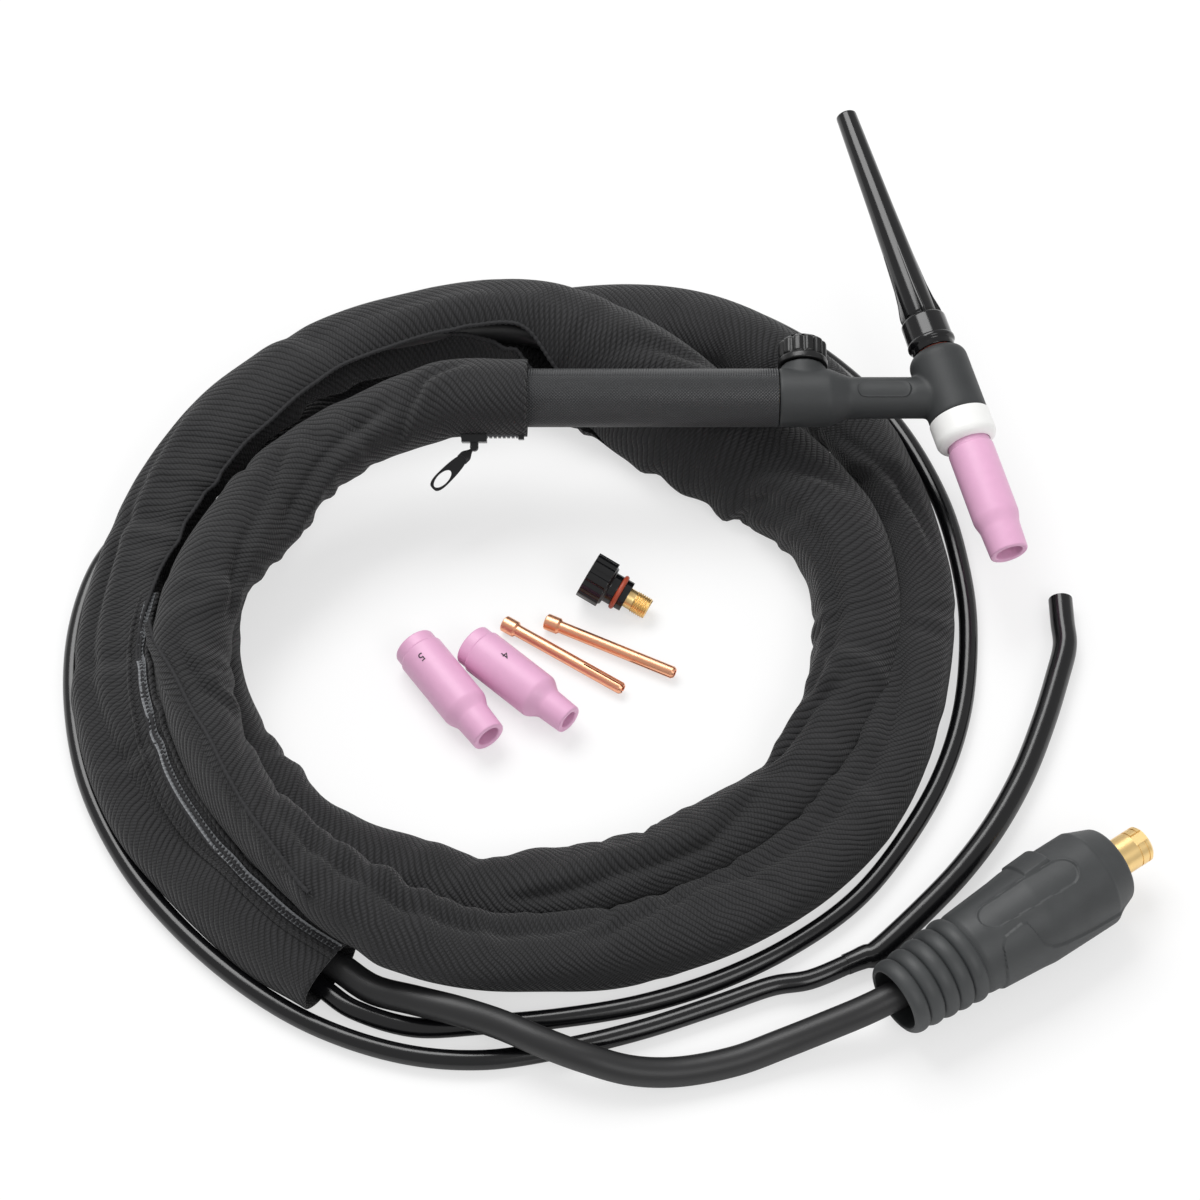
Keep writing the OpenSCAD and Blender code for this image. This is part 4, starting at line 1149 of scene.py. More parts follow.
    def neck_pad(self) -> None:
        """Shallow long pad on top of the neck, with a raised rim.

        Formula: on the neck's cylinder, a stadium whose height is a bell at its rim.
        """
        (half, wide), r = self.pad, self.neck_r
        share, a = np.meshgrid(np.linspace(0, 1, 14), np.linspace(0, TAU, 97), indexing="ij")
        x = share * (np.clip(np.cos(a) * 1.6, -1, 1) * (half - wide) + wide * np.cos(a))
        across = share * wide * np.clip(np.sin(a) * 1.15, -1, 1)
        high = r + 0.1 + 0.14 * bell(share - 0.93, 0.05) - 0.5 * step_up(share, 0.97, 1.0)
        turn = across / r
        local = np.stack([x + self.pad_x, high * np.sin(turn), high * np.cos(turn)], axis=-1)
        piece = piece_from_grid("neck_pad", self.base().out(local), local[..., :2], flip=True)
        add_on(piece, "head_cover", Finishes.rubber)

    def build(self) -> None:
        """Makes the torch's new pieces and dresses the CAD nodes that stay."""
        self.neck_pad()
        cover = softened("head_cover", 0.45, 26)
        stand_for(cover, ["head_cover"], Finishes.rubber)
        self.knob()
        self.handle()
        self.cap()
        seat = self.on_head().moved((0, 0, self.nozzle_seat)).turned(Axis.X, 180)
        Nozzle(seat, "nozzle", 9.5).build()
        head, along = self.on_head().axes[:, 2], self.on_handle().axes[:, 2]
        nodes = bpy.data.objects
        dress(nodes["cup_gasket"], Finishes.ptfe)
        dress(nodes["back_cap_o_ring"], Finishes.silicone)
        dress(nodes["valve_o_ring"], Finishes.silicone)
        for name in ("head_core", "collet_body", "back_cap_insert"):
            dress(nodes[name], Finishes.brass(head))
        for name in ("valve_body", "valve_stem", "torch_fitting", "hose_barb"):
            dress(nodes[name], Finishes.brass(along))
        dress(nodes["collet"], Finishes.copper(head))
        for name in ("neck_tube", "cable_lug", "cable_conductor"):
            dress(nodes[name], Finishes.copper(along))
        dress(nodes["hose_clamp"], Finishes.steel)


# ---------------------------------------------------------------- sleeve


@dataclass(frozen=True)
class Fold:
    """A fold of the cloth: place along and round the sleeve, slant, length, width and depth.

    Its place round the sleeve and its slant are in radians.
    """

    along: float
    round: float
    slant: float
    length: float
    width: float
    depth: float


@dataclass
class Sleeve:
    """The zipped cloth tube round the cable and the hose."""

    cuff: Points = ((-10, 54, 45), (-36, 54, 45))
    # angle, radius and height of the coil's points
    coil: Points = (
        (116, 76, 43), (126, 79, 40.5), (138, 84, 37), (150, 89, 33.5), (164, 95, 31),
        (177, 103.5, 30), (190, 111, 29.5), (202, 117, 29.5), (213, 122.5, 29.5), (224, 127, 29),
        (235, 130.5, 28), (244, 133, 27), (253, 136, 24.5), (262, 138, 19), (271, 137.7, 13),
        (282, 137.9, 8.7), (292, 138.6, 8.7), (302, 141, 8.7), (313, 143.2, 8.7),
        (325, 143.6, 8.7), (337, 143.6, 8.7), (348, 143.8, 8.7), (360, 144, 8.7),
        (370, 144.8, 8.7), (380, 146.8, 8.7), (391, 148.8, 8.7), (401, 149.8, 8.7),
        (411, 150.6, 8.7), (421, 148.5, 8.7), (432, 142.5, 8.7), (444, 135, 8.7),
        (457, 127.5, 8.7), (471, 121, 8.7), (486, 114.5, 8.7), (500, 109.5, 8.7),
        (516, 107.5, 8.7), (532, 108.5, 8.7), (549, 109.5, 8.7), (565, 109.5, 8.7),
        (581, 110, 8.7), (596, 110.5, 8.7), (610, 111, 8.7), (624, 111.5, 8.7), (638, 112, 8.7),
        (652, 112.5, 8.7), (666, 113.5, 8.7), (679, 115.5, 8.7), (693, 116.5, 8.7),
        (707, 117.5, 8.7), (720, 118, 8.7), (733, 117, 12), (745, 113.5, 16), (758, 108.5, 21),
        (773, 106.5, 24.5), (787, 110, 28), (801, 115, 30.5), (813, 119.5, 31), (826, 122, 30.5),
        (838, 124.5, 29.5), (850, 127.5, 27), (863, 130.5, 23), (876, 134, 17.5), (889, 137, 12),
        (902, 139.5, 8.7), (915, 142, 8.7), (928, 143.5, 8.7), (940, 145.5, 8.7),
    )  # fmt: skip
    mouth: Points = ((-95, -143, 8.7), (-73, -159, 8.7))
    # along the coil by angle: reach outward and inward from the middle line, height, rise, and
    # how far the inner side is lifted or, below zero, hangs down
    shape: Points = (
        (87, 14, 14, 24.8, 0, 0), (112, 14, 14, 23, 0, 0), (130, 15, 14, 20, 0, 0),
        (145, 16, 14, 20, 0, 0), (155, 17.5, 14.4, 20, 0, 0), (166, 18, 14.4, 20, 0, 0),
        (180, 17, 12.2, 20, 0, 0), (192, 15.5, 12, 20, 0, 0), (204, 12, 13.3, 20, 0, 0),
        (226, 8.5, 13.5, 20, 0, 0), (236, 10.5, 13.5, 20, 0, 0), (244, 14.5, 13.5, 20, 0, 0),
        (254, 16, 13.5, 19, 0, 0), (263, 13.5, 13.5, 18, 0, 0), (275, 11.5, 14, 18, 0, 0),
        (304, 13, 15, 18, 0, 0), (330, 12.4, 15, 18, 0, 0), (350, 12, 12.5, 17, 0, 0),
        (372, 12, 10.5, 16, 0, 0), (400, 13.5, 13, 17, 0, 0), (425, 15, 15.5, 19, 1, 0),
        (445, 16, 15, 19, 0, 0), (480, 14, 15, 18, 0, 0), (516, 13, 12, 18, 0, 0),
        (545, 13, 11.5, 18, 0, 0), (580, 13.5, 12.5, 19, 0, 0), (601, 15.5, 11.8, 19, 0, 0),
        (613, 15.5, 15, 19, 0, 0), (624, 13.5, 12, 18, 0, 0), (634, 13.5, 16.5, 20, 0, 0),
        (645, 13.5, 14.6, 19, 0, 0), (655, 13.5, 12.6, 19, 0, 0), (668, 14, 14, 20, 0, 0),
        (676, 14, 12.6, 20, 0.5, 0), (684, 15, 7.5, 20, 1, 0), (693, 15.5, 9.5, 21, 1, 0),
        (704, 17, 11.8, 21, 1.5, 0), (718, 19, 12.2, 22, 2, 0), (730, 20, 12, 22, 2, -2),
        (738, 20, 15, 22, 1.5, -5), (745, 19, 18, 22, 0, -9), (754, 18, 21.5, 22, -1, -13),
        (765, 17, 24, 23, -1, -16), (780, 17, 25.5, 23, -1, -19), (795, 17, 25, 22, 0, -19),
        (806, 17, 24, 20, 1, -18), (818, 15, 19, 20, 1, -12), (830, 13, 15, 20, 0, -6),
        (845, 14, 15, 20, 0, 0), (860, 15, 16, 20, 0, 0), (875, 14, 15.5, 20, 0, 0),
        (890, 14.5, 14.5, 20, 0.5, 5), (900, 15.5, 14.5, 19, 0.5, 12), (912, 18, 15, 18, 0, 16),
        (924, 18, 15, 18, 0, 17), (935, 17, 14.5, 18, 0, 14), (948, 16, 13, 19, 0, 7),
        (956, 15.5, 13, 19, 0, 2), (964, 15, 13, 19, 0, 0),
    )  # fmt: skip
    # the zipper round the sleeve, by angle along the coil: place of its lower and upper edge in
    # degrees from the outer side over the top, tuck of the lower edge and flare of the upper one
    slit: Points = (
        (87, 211, 209, 0, 0), (112, 211, 209, 0, 0), (150, 236, 234, 0, 0), (420, 241, 239, 0, 0),
        (700, 201, 199, 0, 0), (760, 206, 204, 0, 0), (780, 190, 186, 0, 0),
        (792, 172, 160, 0, 0), (799, 158, 132, 2, 1), (808, 150, 106, 6, 2),
        (820, 142, 114, 7.5, 3), (835, 134, 130, 7.5, 4), (855, 127, 139, 7, 4.5),
        (872, 130, 143, 6, 4), (888, 140, 142, 4, 3), (899, 136, 132, 1, 1.5),
        (905, 127, 121, 0, 0.5), (915, 119, 113, 0, 0), (930, 111, 105, 0, 0),
        (945, 112, 106, 0, 0), (964, 112, 106, 0, 0),
    )  # fmt: skip
    # long creases: angle along the coil and round the sleeve of each point; depth, width, step
    creases: tuple[tuple[Points, float, float, float], ...] = (
        (((889, 58), (903, 54), (915, 62), (926, 72), (936, 82), (944, 90)), 3.2, 3.4, 1.5),
        (((126, 96), (140, 110), (152, 128), (163, 150)), 2.6, 2.6, 1.0),
        (((150, 60), (160, 88), (172, 110), (186, 150)), 2.4, 2.4, -0.8),
        (((104, 60), (113, 78), (119, 108), (124, 150)), 2.2, 2.2, 0.8),
        (((196, 70), (204, 100), (208, 150)), 2.0, 2.4, 0.8),
        (((232, 118), (250, 104), (268, 110), (284, 128)), 2.6, 3.0, 0.8),
        (((300, 140), (318, 116), (336, 108), (350, 124)), 2.6, 2.8, 0.8),
        (((282, 96), (292, 120), (300, 150)), 2.2, 2.2, 0.0),
        (((632, 60), (648, 82), (664, 70), (676, 96)), 2.4, 2.6, 0.8),
        (((684, 150), (696, 120), (704, 84)), 2.6, 2.6, 0.8),
        (((700, 130), (716, 110), (734, 116), (752, 140)), 2.2, 3.0, -0.8),
        (((372, 60), (384, 92), (392, 130)), 2.6, 2.4, 0.8),
        (((742, 60), (750, 96), (756, 128)), 2.0, 2.6, 0.8),
        (((776, 40), (784, 76), (792, 104)), 2.0, 2.6, -0.8),
        (((764, 70), (772, 100), (784, 126)), 1.6, 2.2, 0.8),
        (((868, 40), (880, 56), (889, 60)), 1.6, 2.6, 0.8),
    )
    boxiness: float = 2.25
    sides: int = 72
    step: float = 1.8
    hem: float = 14.0
    thickness: float = 1.2
    flat_width: float = 77.0
    edge_r: float = 0.75
    piping_r: float = 0.9
    tape_w: float = 3.4
    seed: int = 11
    # angles along the coil: where the opening's edges start to show, and where it is closed
    open_from: float = 790
    closed_from: float = 899
    tooth_pitch: float = 1.6
    tooth_high: float = 1.5
    # the teeth's ribbon lies this far over the cloth, and the two pipings this far round from it
    teeth_lift: float = 0.9
    piping_rad: tuple[float, float] = (0.30, -0.27)
    stitch_pitch: float = 2.2
    stitch_swell: float = 0.2
    stitch_step: float = 0.55
    # the flap starts this far round from the opening's edge, and its own edge lies this far over
    # the sleeve's first turn; then, by angle along the coil, its bulge and its edge's ring radius
    flap_from_rad: float = 0.38
    flap_lift: float = 0.9
    flap_bulge: Points = ((907, 2.0), (925, 2.0), (942, 2.4), (958, 2.0), (964, 0.4))
    flap_edge: Points = (
        (907, 128), (913, 126), (921, 122.5), (934, 122.5), (943, 127), (951, 132), (957, 137),
        (961, 141), (964, 145),
    )  # fmt: skip

    def __post_init__(self) -> None:
        """Works out the middle line and, at each of its points, the coil's angle."""
        ring = round_the_coil(*np.array(self.coil, float).T)
        self.path = smooth_path([*self.cuff, *ring, *self.mouth], self.step)
        self.at = lengths_along(self.path)
        _, self.side, self.up = frames_along(self.path)
        out = self.path[:, :2] - COIL_MIDDLE
        self.angle = np.degrees(np.unwrap(np.arctan2(out[:, 1], out[:, 0])))
        log.info("sleeve is %.0f mm long", self.at[-1])

    def keyed(self, keys: Sequence[Sequence[float]], column: int = 1) -> Array:
        """Value at every point of the middle line, eased between keys.

        Args:
            keys: rows that start with an angle along the coil.
            column: which of their columns gives the value.

        Returns:
            One value for each point.
        """
        table = np.array(keys, float)
        fine = np.linspace(self.angle[0], self.angle[-1], 1200)
        value = smoothed(np.interp(fine, table[:, 0], table[:, column]), np.hanning(15))
        return np.interp(self.angle, fine, value)

    def folds(self) -> list[Fold]:
        """Soft folds: most lie across the sleeve, on the inner side of its bend.

        Returns:
            The folds, the same ones each time.
        """
        rng = np.random.default_rng(self.seed)
        count = int(self.at[-1] / 9)
        along = rng.uniform(30, self.at[-1] - 12, count)
        round_ = rng.normal(np.radians(150), 0.9, count)
        slant = rng.normal(0.25, 0.45, count)
        length = rng.uniform(8, 22, count)
        width = rng.uniform(2.2, 5.0, count)
        depth = rng.uniform(0.4, 1.5, count) * rng.choice([1, 1, -0.8], count)
        return [Fold(*values) for values in zip(along, round_, slant, length, width, depth)]

    def relief(self, rows: Array, a: Array) -> Array:
        """How far the cloth stands off its smooth tube.

        Formula: slow waves along and round the tube, less the folds and the creases. A fold is a
        bell across its line, with a lip on one side, times a bell along it. A crease is a bell
        round the sleeve about a line that wanders along it, with a step from one side to the other.

        Args:
            rows: numbers of the middle line's points.
            a: angle round the sleeve for each row and column, in radians.

        Returns:
            The relief for each row and column, outwards.
        """
        s, coil = self.at[rows][:, None], self.angle[rows]
        slow = 0.7 * np.sin(s / 31 + 2 * np.sin(a)) * np.sin(a + s / 70)
        out = slow + 0.4 * np.sin(s / 13 + 3 * np.cos(a + 1))
        round_mm = self.flat_width / TAU
        for fold in self.folds():
            near = np.abs(s[:, 0] - fold.along) < 50
            ds = s[near] - fold.along
            dr = round_mm * (np.mod(a[near] - fold.round + np.pi, TAU) - np.pi)
            across = ds * np.cos(fold.slant) + dr * np.sin(fold.slant)
            along = dr * np.cos(fold.slant) - ds * np.sin(fold.slant)
            valley = bell(across, fold.width) - 0.55 * bell(across - 1.5 * fold.width, fold.width)
            out[near] -= fold.depth * valley * bell(along, fold.length)
        for points, depth, width, rise in self.creases:
            line = np.array(points, float)
            first, last = line[0, 0], line[-1, 0]
            near = (coil > first - 8) & (coil < last + 8)
            middle = np.radians(np.interp(coil[near], line[:, 0], line[:, 1]))[:, None]
            here = coil[near]
            share = step_up(here, first - 5, first + 4) * (1 - step_up(here, last - 4, last + 5))
            dr = round_mm * (np.mod(a[near] - middle + np.pi, TAU) - np.pi)
            valley = depth * (bell(dr, width) - 0.4 * bell(dr - 1.9 * width, 1.3 * width))
            raised = rise * np.tanh(dr / width) * bell(dr, 6 * width)
            out[near] -= share[:, None] * (valley - raised)
        return out * step_up(s, 6, 34) * (1 - 0.7 * step_up(s, self.at[-1] - 22, self.at[-1]))

    def surface(self, rows: Array, a: Array, inward: Array | float = 0.0) -> Array:
        """Points of the cloth.

        Formula: a superellipse |x/a|^n + |y/b|^n = 1 whose reach differs on its two sides; its
        inner side is lifted at the top or hangs down as a whole; then comes the relief, and
        nothing goes under the ground.

        Args:
            rows: numbers of the middle line's points.
            a: angle round the sleeve for each row and column, in radians.
            inward: how far under the cloth's outside the points lie.

        Returns:
            Grid of points.
        """
        keyed = (self.keyed(self.shape, k)[rows][:, None] for k in range(1, 6))
        out, back, high, rise, lift = keyed
        power = 2 / self.boxiness
        c, s = np.cos(a), np.sin(a)
        x = np.where(c > 0, out, back) * np.sign(c) * np.abs(c) ** power
        y = high / 2 * np.sign(s) * np.abs(s) ** power
        grow = 1 + (self.relief(rows, a) - inward) / np.hypot(x, y)
        x, y = x * grow, y * grow
        inner = np.clip(-x / back, 0, 1.2)
        lifted, hanging = lift * step_up(s, -0.6, 0.5) * inner**1.3, lift * inner**1.7
        y = y + rise + np.where(lift > 0, lifted, hanging)
        points = self.path[rows][:, None] + x[..., None] * self.side[rows][:, None]
        points = points + y[..., None] * self.up[rows][:, None]
        lowest = 0.15 + inward
        points[..., 2] = lowest + np.logaddexp(0, (points[..., 2] - lowest) * 4) / 4
        return points

    def runs(self) -> None:
        """Cable and hose inside the torch's handle and the sleeve.

        Formula: the middle line moved to the side, and down by a share that grows past the cuff.
        Each has its name, where it starts in the handle, its radius, and how far it lies to the
        side and down.
        """
        sag = step_up(self.angle, 107.2, 116)[:, None]
        cable = ("power_cable", 36.9, 5.0, -4.0, -1.8, Finishes.cable, "cable_rubber")
        hose = ("gas_hose", 49.9, 3.35, 4.9, -3.2, Finishes.hose, "hose_black")
        for name, start, radius, beside, drop, finish, slot in (cable, hose):
            line = self.path + beside * self.side + drop * sag * self.up
            lead = np.tile(line[0], (7, 1))
            lead[:, 0] = np.linspace(start, line[0, 0], 8)[:-1]
            grid, uv = tube_grid(np.vstack([lead, line]), radius, 20, 0.2)
            piece = piece_from_grid(name + "_in_sleeve", grid, uv, flip=True)
            stand_for(piece, [name + "_run"], finish)

    def edges(self) -> tuple[Array, Array]:
        """Angles of the lower and the upper edge of the opening, at each point of the path."""
        return np.radians(self.keyed(self.slit, 1)), np.radians(self.keyed(self.slit, 2))

    def cloth(self) -> None:
        """Makes the cloth: a tube that is open along the zipper, with a hem turned in at both ends.

        Formula: near the lower edge the cloth goes under the upper one by the tuck, and near the
        upper edge it stands off by the flare.
        """
        low, high = self.edges()
        tuck, flare = self.keyed(self.slit, 3), self.keyed(self.slit, 4)
        turn_in = int(self.hem / self.step)
        count = len(self.path)
        inside_a = np.arange(turn_in, 0, -1)
        inside_b = np.arange(count - 1, count - 1 - turn_in, -1)
        u = np.linspace(0, 1, self.sides + 1)
        parts, orders = [], (inside_a, np.arange(count), inside_b)
        for rows, inward in zip(orders, (self.thickness, 0.0, self.thickness)):
            a = low[rows][:, None] + (high[rows] + TAU - low[rows])[:, None] * u
            round_mm = u * self.flat_width
            tucked = tuck[rows][:, None] * (1 - step_up(round_mm, 2, 15))
            rise = step_up(round_mm, self.flat_width - 12, self.flat_width)
            flared = flare[rows][:, None] * rise
            parts.append(self.surface(rows, a, inward + tucked - flared))
        order = np.concatenate(orders)
        grid = np.concatenate(parts)
        self.lower_edge, self.upper_edge = parts[1][:, 0], parts[1][:, -1]
        uv = stacked(u * self.flat_width, self.at[order][:, None])
        piece = piece_from_grid("sleeve_cloth", grid, uv, flip=True, sharp=180)
        stand_for(piece, ["sleeve"], Finishes.twill)
        self.trim()
        self.flap()

    def line_on(self, rows: Array, a: Array, lift: float) -> Array:
        """A line along the cloth at the angles a, lifted off it."""
        return self.surface(rows, a[:, None], -lift)[:, 0]

    def stitched(self, name: str, edges: Sequence[Array]) -> bpy.types.Object:
        """A thread wound round each of some edges of the cloth.

        Formula: a tube along the edge whose radius swells by a sine, once for each stitch.

        Args:
            name: name of the piece.
            edges: the points of each edge.

        Returns:
            The piece.
        """
        parts = []
        for edge in edges:
            line = smooth_path(edge[::3], self.stitch_step)
            wave = np.sin(lengths_along(line) * TAU / self.stitch_pitch)
            parts.append(tube_grid(line, self.edge_r * (1 + self.stitch_swell * wave), 8, 0.2))
        piece = piece_from_grids(name, parts, flip=True, sharp=180)
        return add_on(piece, "sleeve", Finishes.serging)

    def trim(self) -> bpy.types.Object:
        """Stitched edges of the opening.

        Returns:
            The piece.
        """
        rows = np.flatnonzero(self.angle > self.open_from)
        edges = self.lower_edge[rows], self.upper_edge[rows]
        return self.stitched("sleeve_edge_stitching", edges)

    def top_of_turn(self, coil: Array, radius: Array) -> Array:
        """Height of the sleeve's top.

        Formula: of a section's points over its top, the one whose ring radius is nearest.

        Args:
            coil: angle along the coil of each place.
            radius: its ring radius.

        Returns:
            The height at each place.
        """
        rows = np.searchsorted(self.angle, coil)
        over = np.linspace(0.05, np.pi - 0.05, 90)
        points = self.surface(rows, np.broadcast_to(over, (len(rows), len(over))))
        ring = np.hypot(*np.moveaxis(points[..., :2] - COIL_MIDDLE, -1, 0))
        nearest = np.argmin(np.abs(ring - radius[:, None]), axis=1)
        return points[np.arange(len(rows)), nearest, 2]

    def flap(self) -> bpy.types.Object:
        """Strip of cloth beyond the closed zipper, laid over the next turn of the sleeve.

        Formula: a ribbon between the zipper and an edge that lies on the sleeve's first turn; it
        bulges by a sine between them.

        Returns:
            The strip, without its stitched edge.
        """
        keys = np.array(self.flap_edge)
        low, _ = self.edges()
        rows = np.flatnonzero((self.angle > keys[0, 0]) & (self.angle < keys[-1, 0]))
        start = self.line_on(rows, low[rows] + self.flap_from_rad, 0.4)
        coil = self.angle[rows]
        radius = smoothed(np.interp(coil, keys[:, 0], keys[:, 1]), np.ones(9))
        # two turns back the sleeve's first turn lies beside the last one
        height = smoothed(self.top_of_turn(coil - 2 * 360, radius) + self.flap_lift, np.ones(13))
        end = round_the_coil(coil, radius, height)
        turn = np.radians(coil)
        u = np.linspace(0, 1, 12)[None, :, None]
        wave = 0.5 * np.sin(self.at[rows] / 7)[:, None, None] * u
        outward = np.column_stack([np.cos(turn), np.sin(turn), 0.4 + 0 * turn])[:, None]
        size = np.interp(coil, *np.array(self.flap_bulge).T)[:, None, None]
        bulge = size * np.sin(np.pi * u**1.8) * outward
        grid = start[:, None] * (1 - u) + end[:, None] * u + bulge + wave * UP
        width = np.linalg.norm(end - start, axis=1)[:, None]
        uv = stacked(-u[..., 0] * width, self.at[rows][:, None])
        piece = piece_from_grid("sleeve_flap", grid, uv, sharp=180)
        add_on(piece, "sleeve", Finishes.twill)
        self.stitched("sleeve_flap_stitching", [grid[:, -1]])
        return piece

    def teeth(self) -> None:
        """Closed zipper along the sleeve's lower left: a row of teeth between two pipings.

        Formula: the row is a flat ribbon whose height is a cosine of the distance, one wave for
        each tooth, half a wave apart on its two sides.
        """
        rows = np.flatnonzero(self.angle > self.closed_from)
        seam = (sum(self.edges()) / 2)[rows]
        line = self.line_on(rows, seam, self.teeth_lift)
        path = smooth_path(line[::4], self.tooth_pitch / 5)
        at = lengths_along(path)
        next_to = self.line_on(rows, seam + 0.1, self.teeth_lift) - line
        along = unit(resampled(next_to, lengths_along(line), at))
        out = unit(np.cross(along, np.gradient(path, axis=0)))
        u = np.linspace(-1, 1, 11)
        phase = np.where(u > 0, np.pi, 0)
        wave = 0.5 + 0.5 * np.cos(at[:, None] * TAU / self.tooth_pitch + phase)
        bulge = self.tooth_high * (1 - u**2) * (0.1 + 0.9 * wave)
        grid = path[:, None] + self.tape_w / 2 * u[None, :, None] * along[:, None]
        grid = grid + bulge[..., None] * out[:, None]
        uv = stacked(u * self.tape_w, at[:, None])
        row = piece_from_grid("zipper_teeth_closed", grid, uv, flip=True)
        add_on(row, "zip_teeth", Finishes.coil)
        parts = []
        for offset in self.piping_rad:
            edge = smooth_path(self.line_on(rows, seam + offset, 0.4)[::3], 1.0)
            parts.append(tube_grid(edge, self.piping_r, 10, 0.3))
        piping = piece_from_grids("sleeve_piping", parts, flip=True, sharp=180)
        add_on(piping, "sleeve", Finishes.twill)

    def build(self) -> None:
        """Makes the cable and hose inside, the cloth with its edges and flap, and the teeth."""
        self.runs()
        self.cloth()
        self.teeth()


# ---------------------------------------------------------------- cords


@dataclass
class Cords:
    """The free power cable, the free gas hose and the hose's thick end."""

    cable_r: float = 5.0
    hose_r: float = 3.35
    end_r: float = 4.3
    end_bore_r: float = 2.9
    end_bore_depth: float = 12.0
    step: float = 1.5
    # where cable and hose leave the sleeve's mouth, and the way they take
    cable_exit: tuple[float, float, float] = (-70.65, -155.77, 6.9)
    hose_exit: tuple[float, float, float] = (-75.88, -162.96, 5.5)
    mouth_heading: tuple[float, float, float] = (0.8087, -0.5882, 0.0)
    straight: float = 14.0
    cable_points: Points = (
        (-45, -170, 10.5), (-31, -175, 12.8), (-17, -180, 13), (-3, -186.5, 13),
        (11, -191.5, 11.5), (26, -194.3, 8), (42, -193.5, 5.5), (60, -189.5, 5),
        (76, -183.8, 6.5), (92, -178.5, 10), (103, -174.8, 12.8), (113, -170.5, 15),
    )  # fmt: skip
    # how far into the plug the cable's last points lie
    cable_in_plug: tuple[float, ...] = (17, 30, 42)
    # angle, radius and height of the hose's loop round the sleeve
    hose_loop: Points = (
        (259, 162.5, 3.7), (267, 158.5, 3.4), (276, 156.8, 3.4), (286, 157, 3.4), (296, 158, 3.4),
        (306, 159.5, 3.4), (316, 161, 3.4), (326, 160.5, 3.4), (337, 160.8, 3.4), (348, 161, 3.4),
        (360, 161.4, 3.4), (370, 162.4, 3.4), (380, 164.4, 3.4), (391, 166.4, 3.4),
        (401, 167.4, 3.4), (411, 167.6, 3.4), (421, 165.6, 3.4), (432, 160, 3.4),
        (444, 152.5, 3.4), (457, 145, 3.4), (471, 138, 3.4), (486, 131.5, 3.4), (498, 129, 3.4),
        (507, 132, 3.4), (515, 139, 3.4), (523, 147.5, 3.4), (531, 153.5, 3.4), (541, 156.5, 3.4),
        (552, 158.5, 3.4), (564, 161, 3.4), (576, 163, 3.4), (587, 165, 3.4), (598, 168, 3.4),
        (608, 171, 3.4), (618, 172.5, 3.4), (627, 171.5, 3.4), (636, 168, 3.4), (645, 166, 3.4),
        (654, 166, 3.6), (661, 168.5, 4),
    )  # fmt: skip
    socket_at: tuple[float, float, float] = (98, -153.5, 4.45)
    socket_turn: float = 25.0
    # where along the thick end it starts and stops widening, and how far it stands off the hose
    # before that
    widening: tuple[float, float] = (1.0, 12.0)
    lip: float = 0.25
    end_points: Points = (
        (128, -129.5, 4.45), (140.5, -115, 4.45), (152, -98.5, 4.45), (162.5, -79, 4.45),
        (171, -58, 4.45), (177.5, -38.5, 4.45), (181, -26, 4.45), (181, -16, 4.45),
        (181, -6, 4.45),
    )  # fmt: skip

    def cable(self) -> None:
        """Free power cable, from the sleeve's mouth into the plug."""
        ends = [PLUG_AT + s * level(PLUG_TURN) for s in self.cable_in_plug]
        path = self.from_mouth(self.cable_exit, [*self.cable_points, *ends])
        piece = piece_from_grid("power_cable", *tube_grid(path, self.cable_r, 32, 0.4), flip=True)
        stand_for(piece, ["power_cable_tail"], Finishes.cable)

    def hose(self) -> None:
        """Free gas hose: back round the sleeve, then on through its thick end."""
        loop = round_the_coil(*np.array(self.hose_loop).T)
        before_socket = self.socket_at - 13 * level(self.socket_turn)
        thick_path = self.thick_path()
        outer = self.thick_end(thick_path)
        within = thick_path[3 : -int(self.end_bore_depth / self.step) - 1]
        free = self.from_mouth(self.hose_exit, [*loop, before_socket, within[0]])
        path = np.vstack([free[:-1], within])
        piece = piece_from_grid("gas_hose", *tube_grid(path, self.hose_r, 24, 0.3), flip=True)
        stand_for(piece, ["gas_hose_tail"], Finishes.hose)

    def from_mouth(self, exit_: Sequence[float], points: Sequence[Any]) -> Array:
        """Path from a point in the sleeve's mouth, first straight on and then through points."""
        after = exit_ + self.straight * np.array(self.mouth_heading)
        return smooth_path([exit_, after, *points], self.step)

    def thick_path(self) -> Array:
        """Middle line of the hose's thick end."""
        socket = [self.socket_at + s * level(self.socket_turn) for s in (0, 7, 13)]
        return smooth_path([*socket, *self.end_points], self.step)

    def thick_end(self, path: Array) -> bpy.types.Object:
        """Thick end of the hose, with an open bore at its free end.

        Formula: a tube along the path that widens from the hose, turns in over its lip and goes
        back along the bore to a closed bottom.

        Args:
            path: its middle line.

        Returns:
            The piece.
        """
        back = -int(self.end_bore_depth / self.step)
        rows = np.concatenate([[0, 0], np.arange(len(path)), [-1, -1, back, back]])
        r, thin, bore = self.end_r, self.hose_r, self.end_bore_r
        grown = step_up(lengths_along(path), *self.widening)
        tube = thin + self.lip + (r - thin - self.lip) * grown
        radius = np.concatenate([[thin - 0.1, thin], tube, [r - 0.4, bore, bore, 0]])
        grid, uv = swept(path, rows, radius, 32)
        piece = piece_from_grid("hose_thick_end", grid, uv, flip=True)
        stand_for(piece, ["hose_end"], Finishes.hose)
        return piece

    def build(self) -> None:
        """Makes the two cords."""
        self.cable()
        self.hose()


# ---------------------------------------------------------------- plug, zipper, spare parts


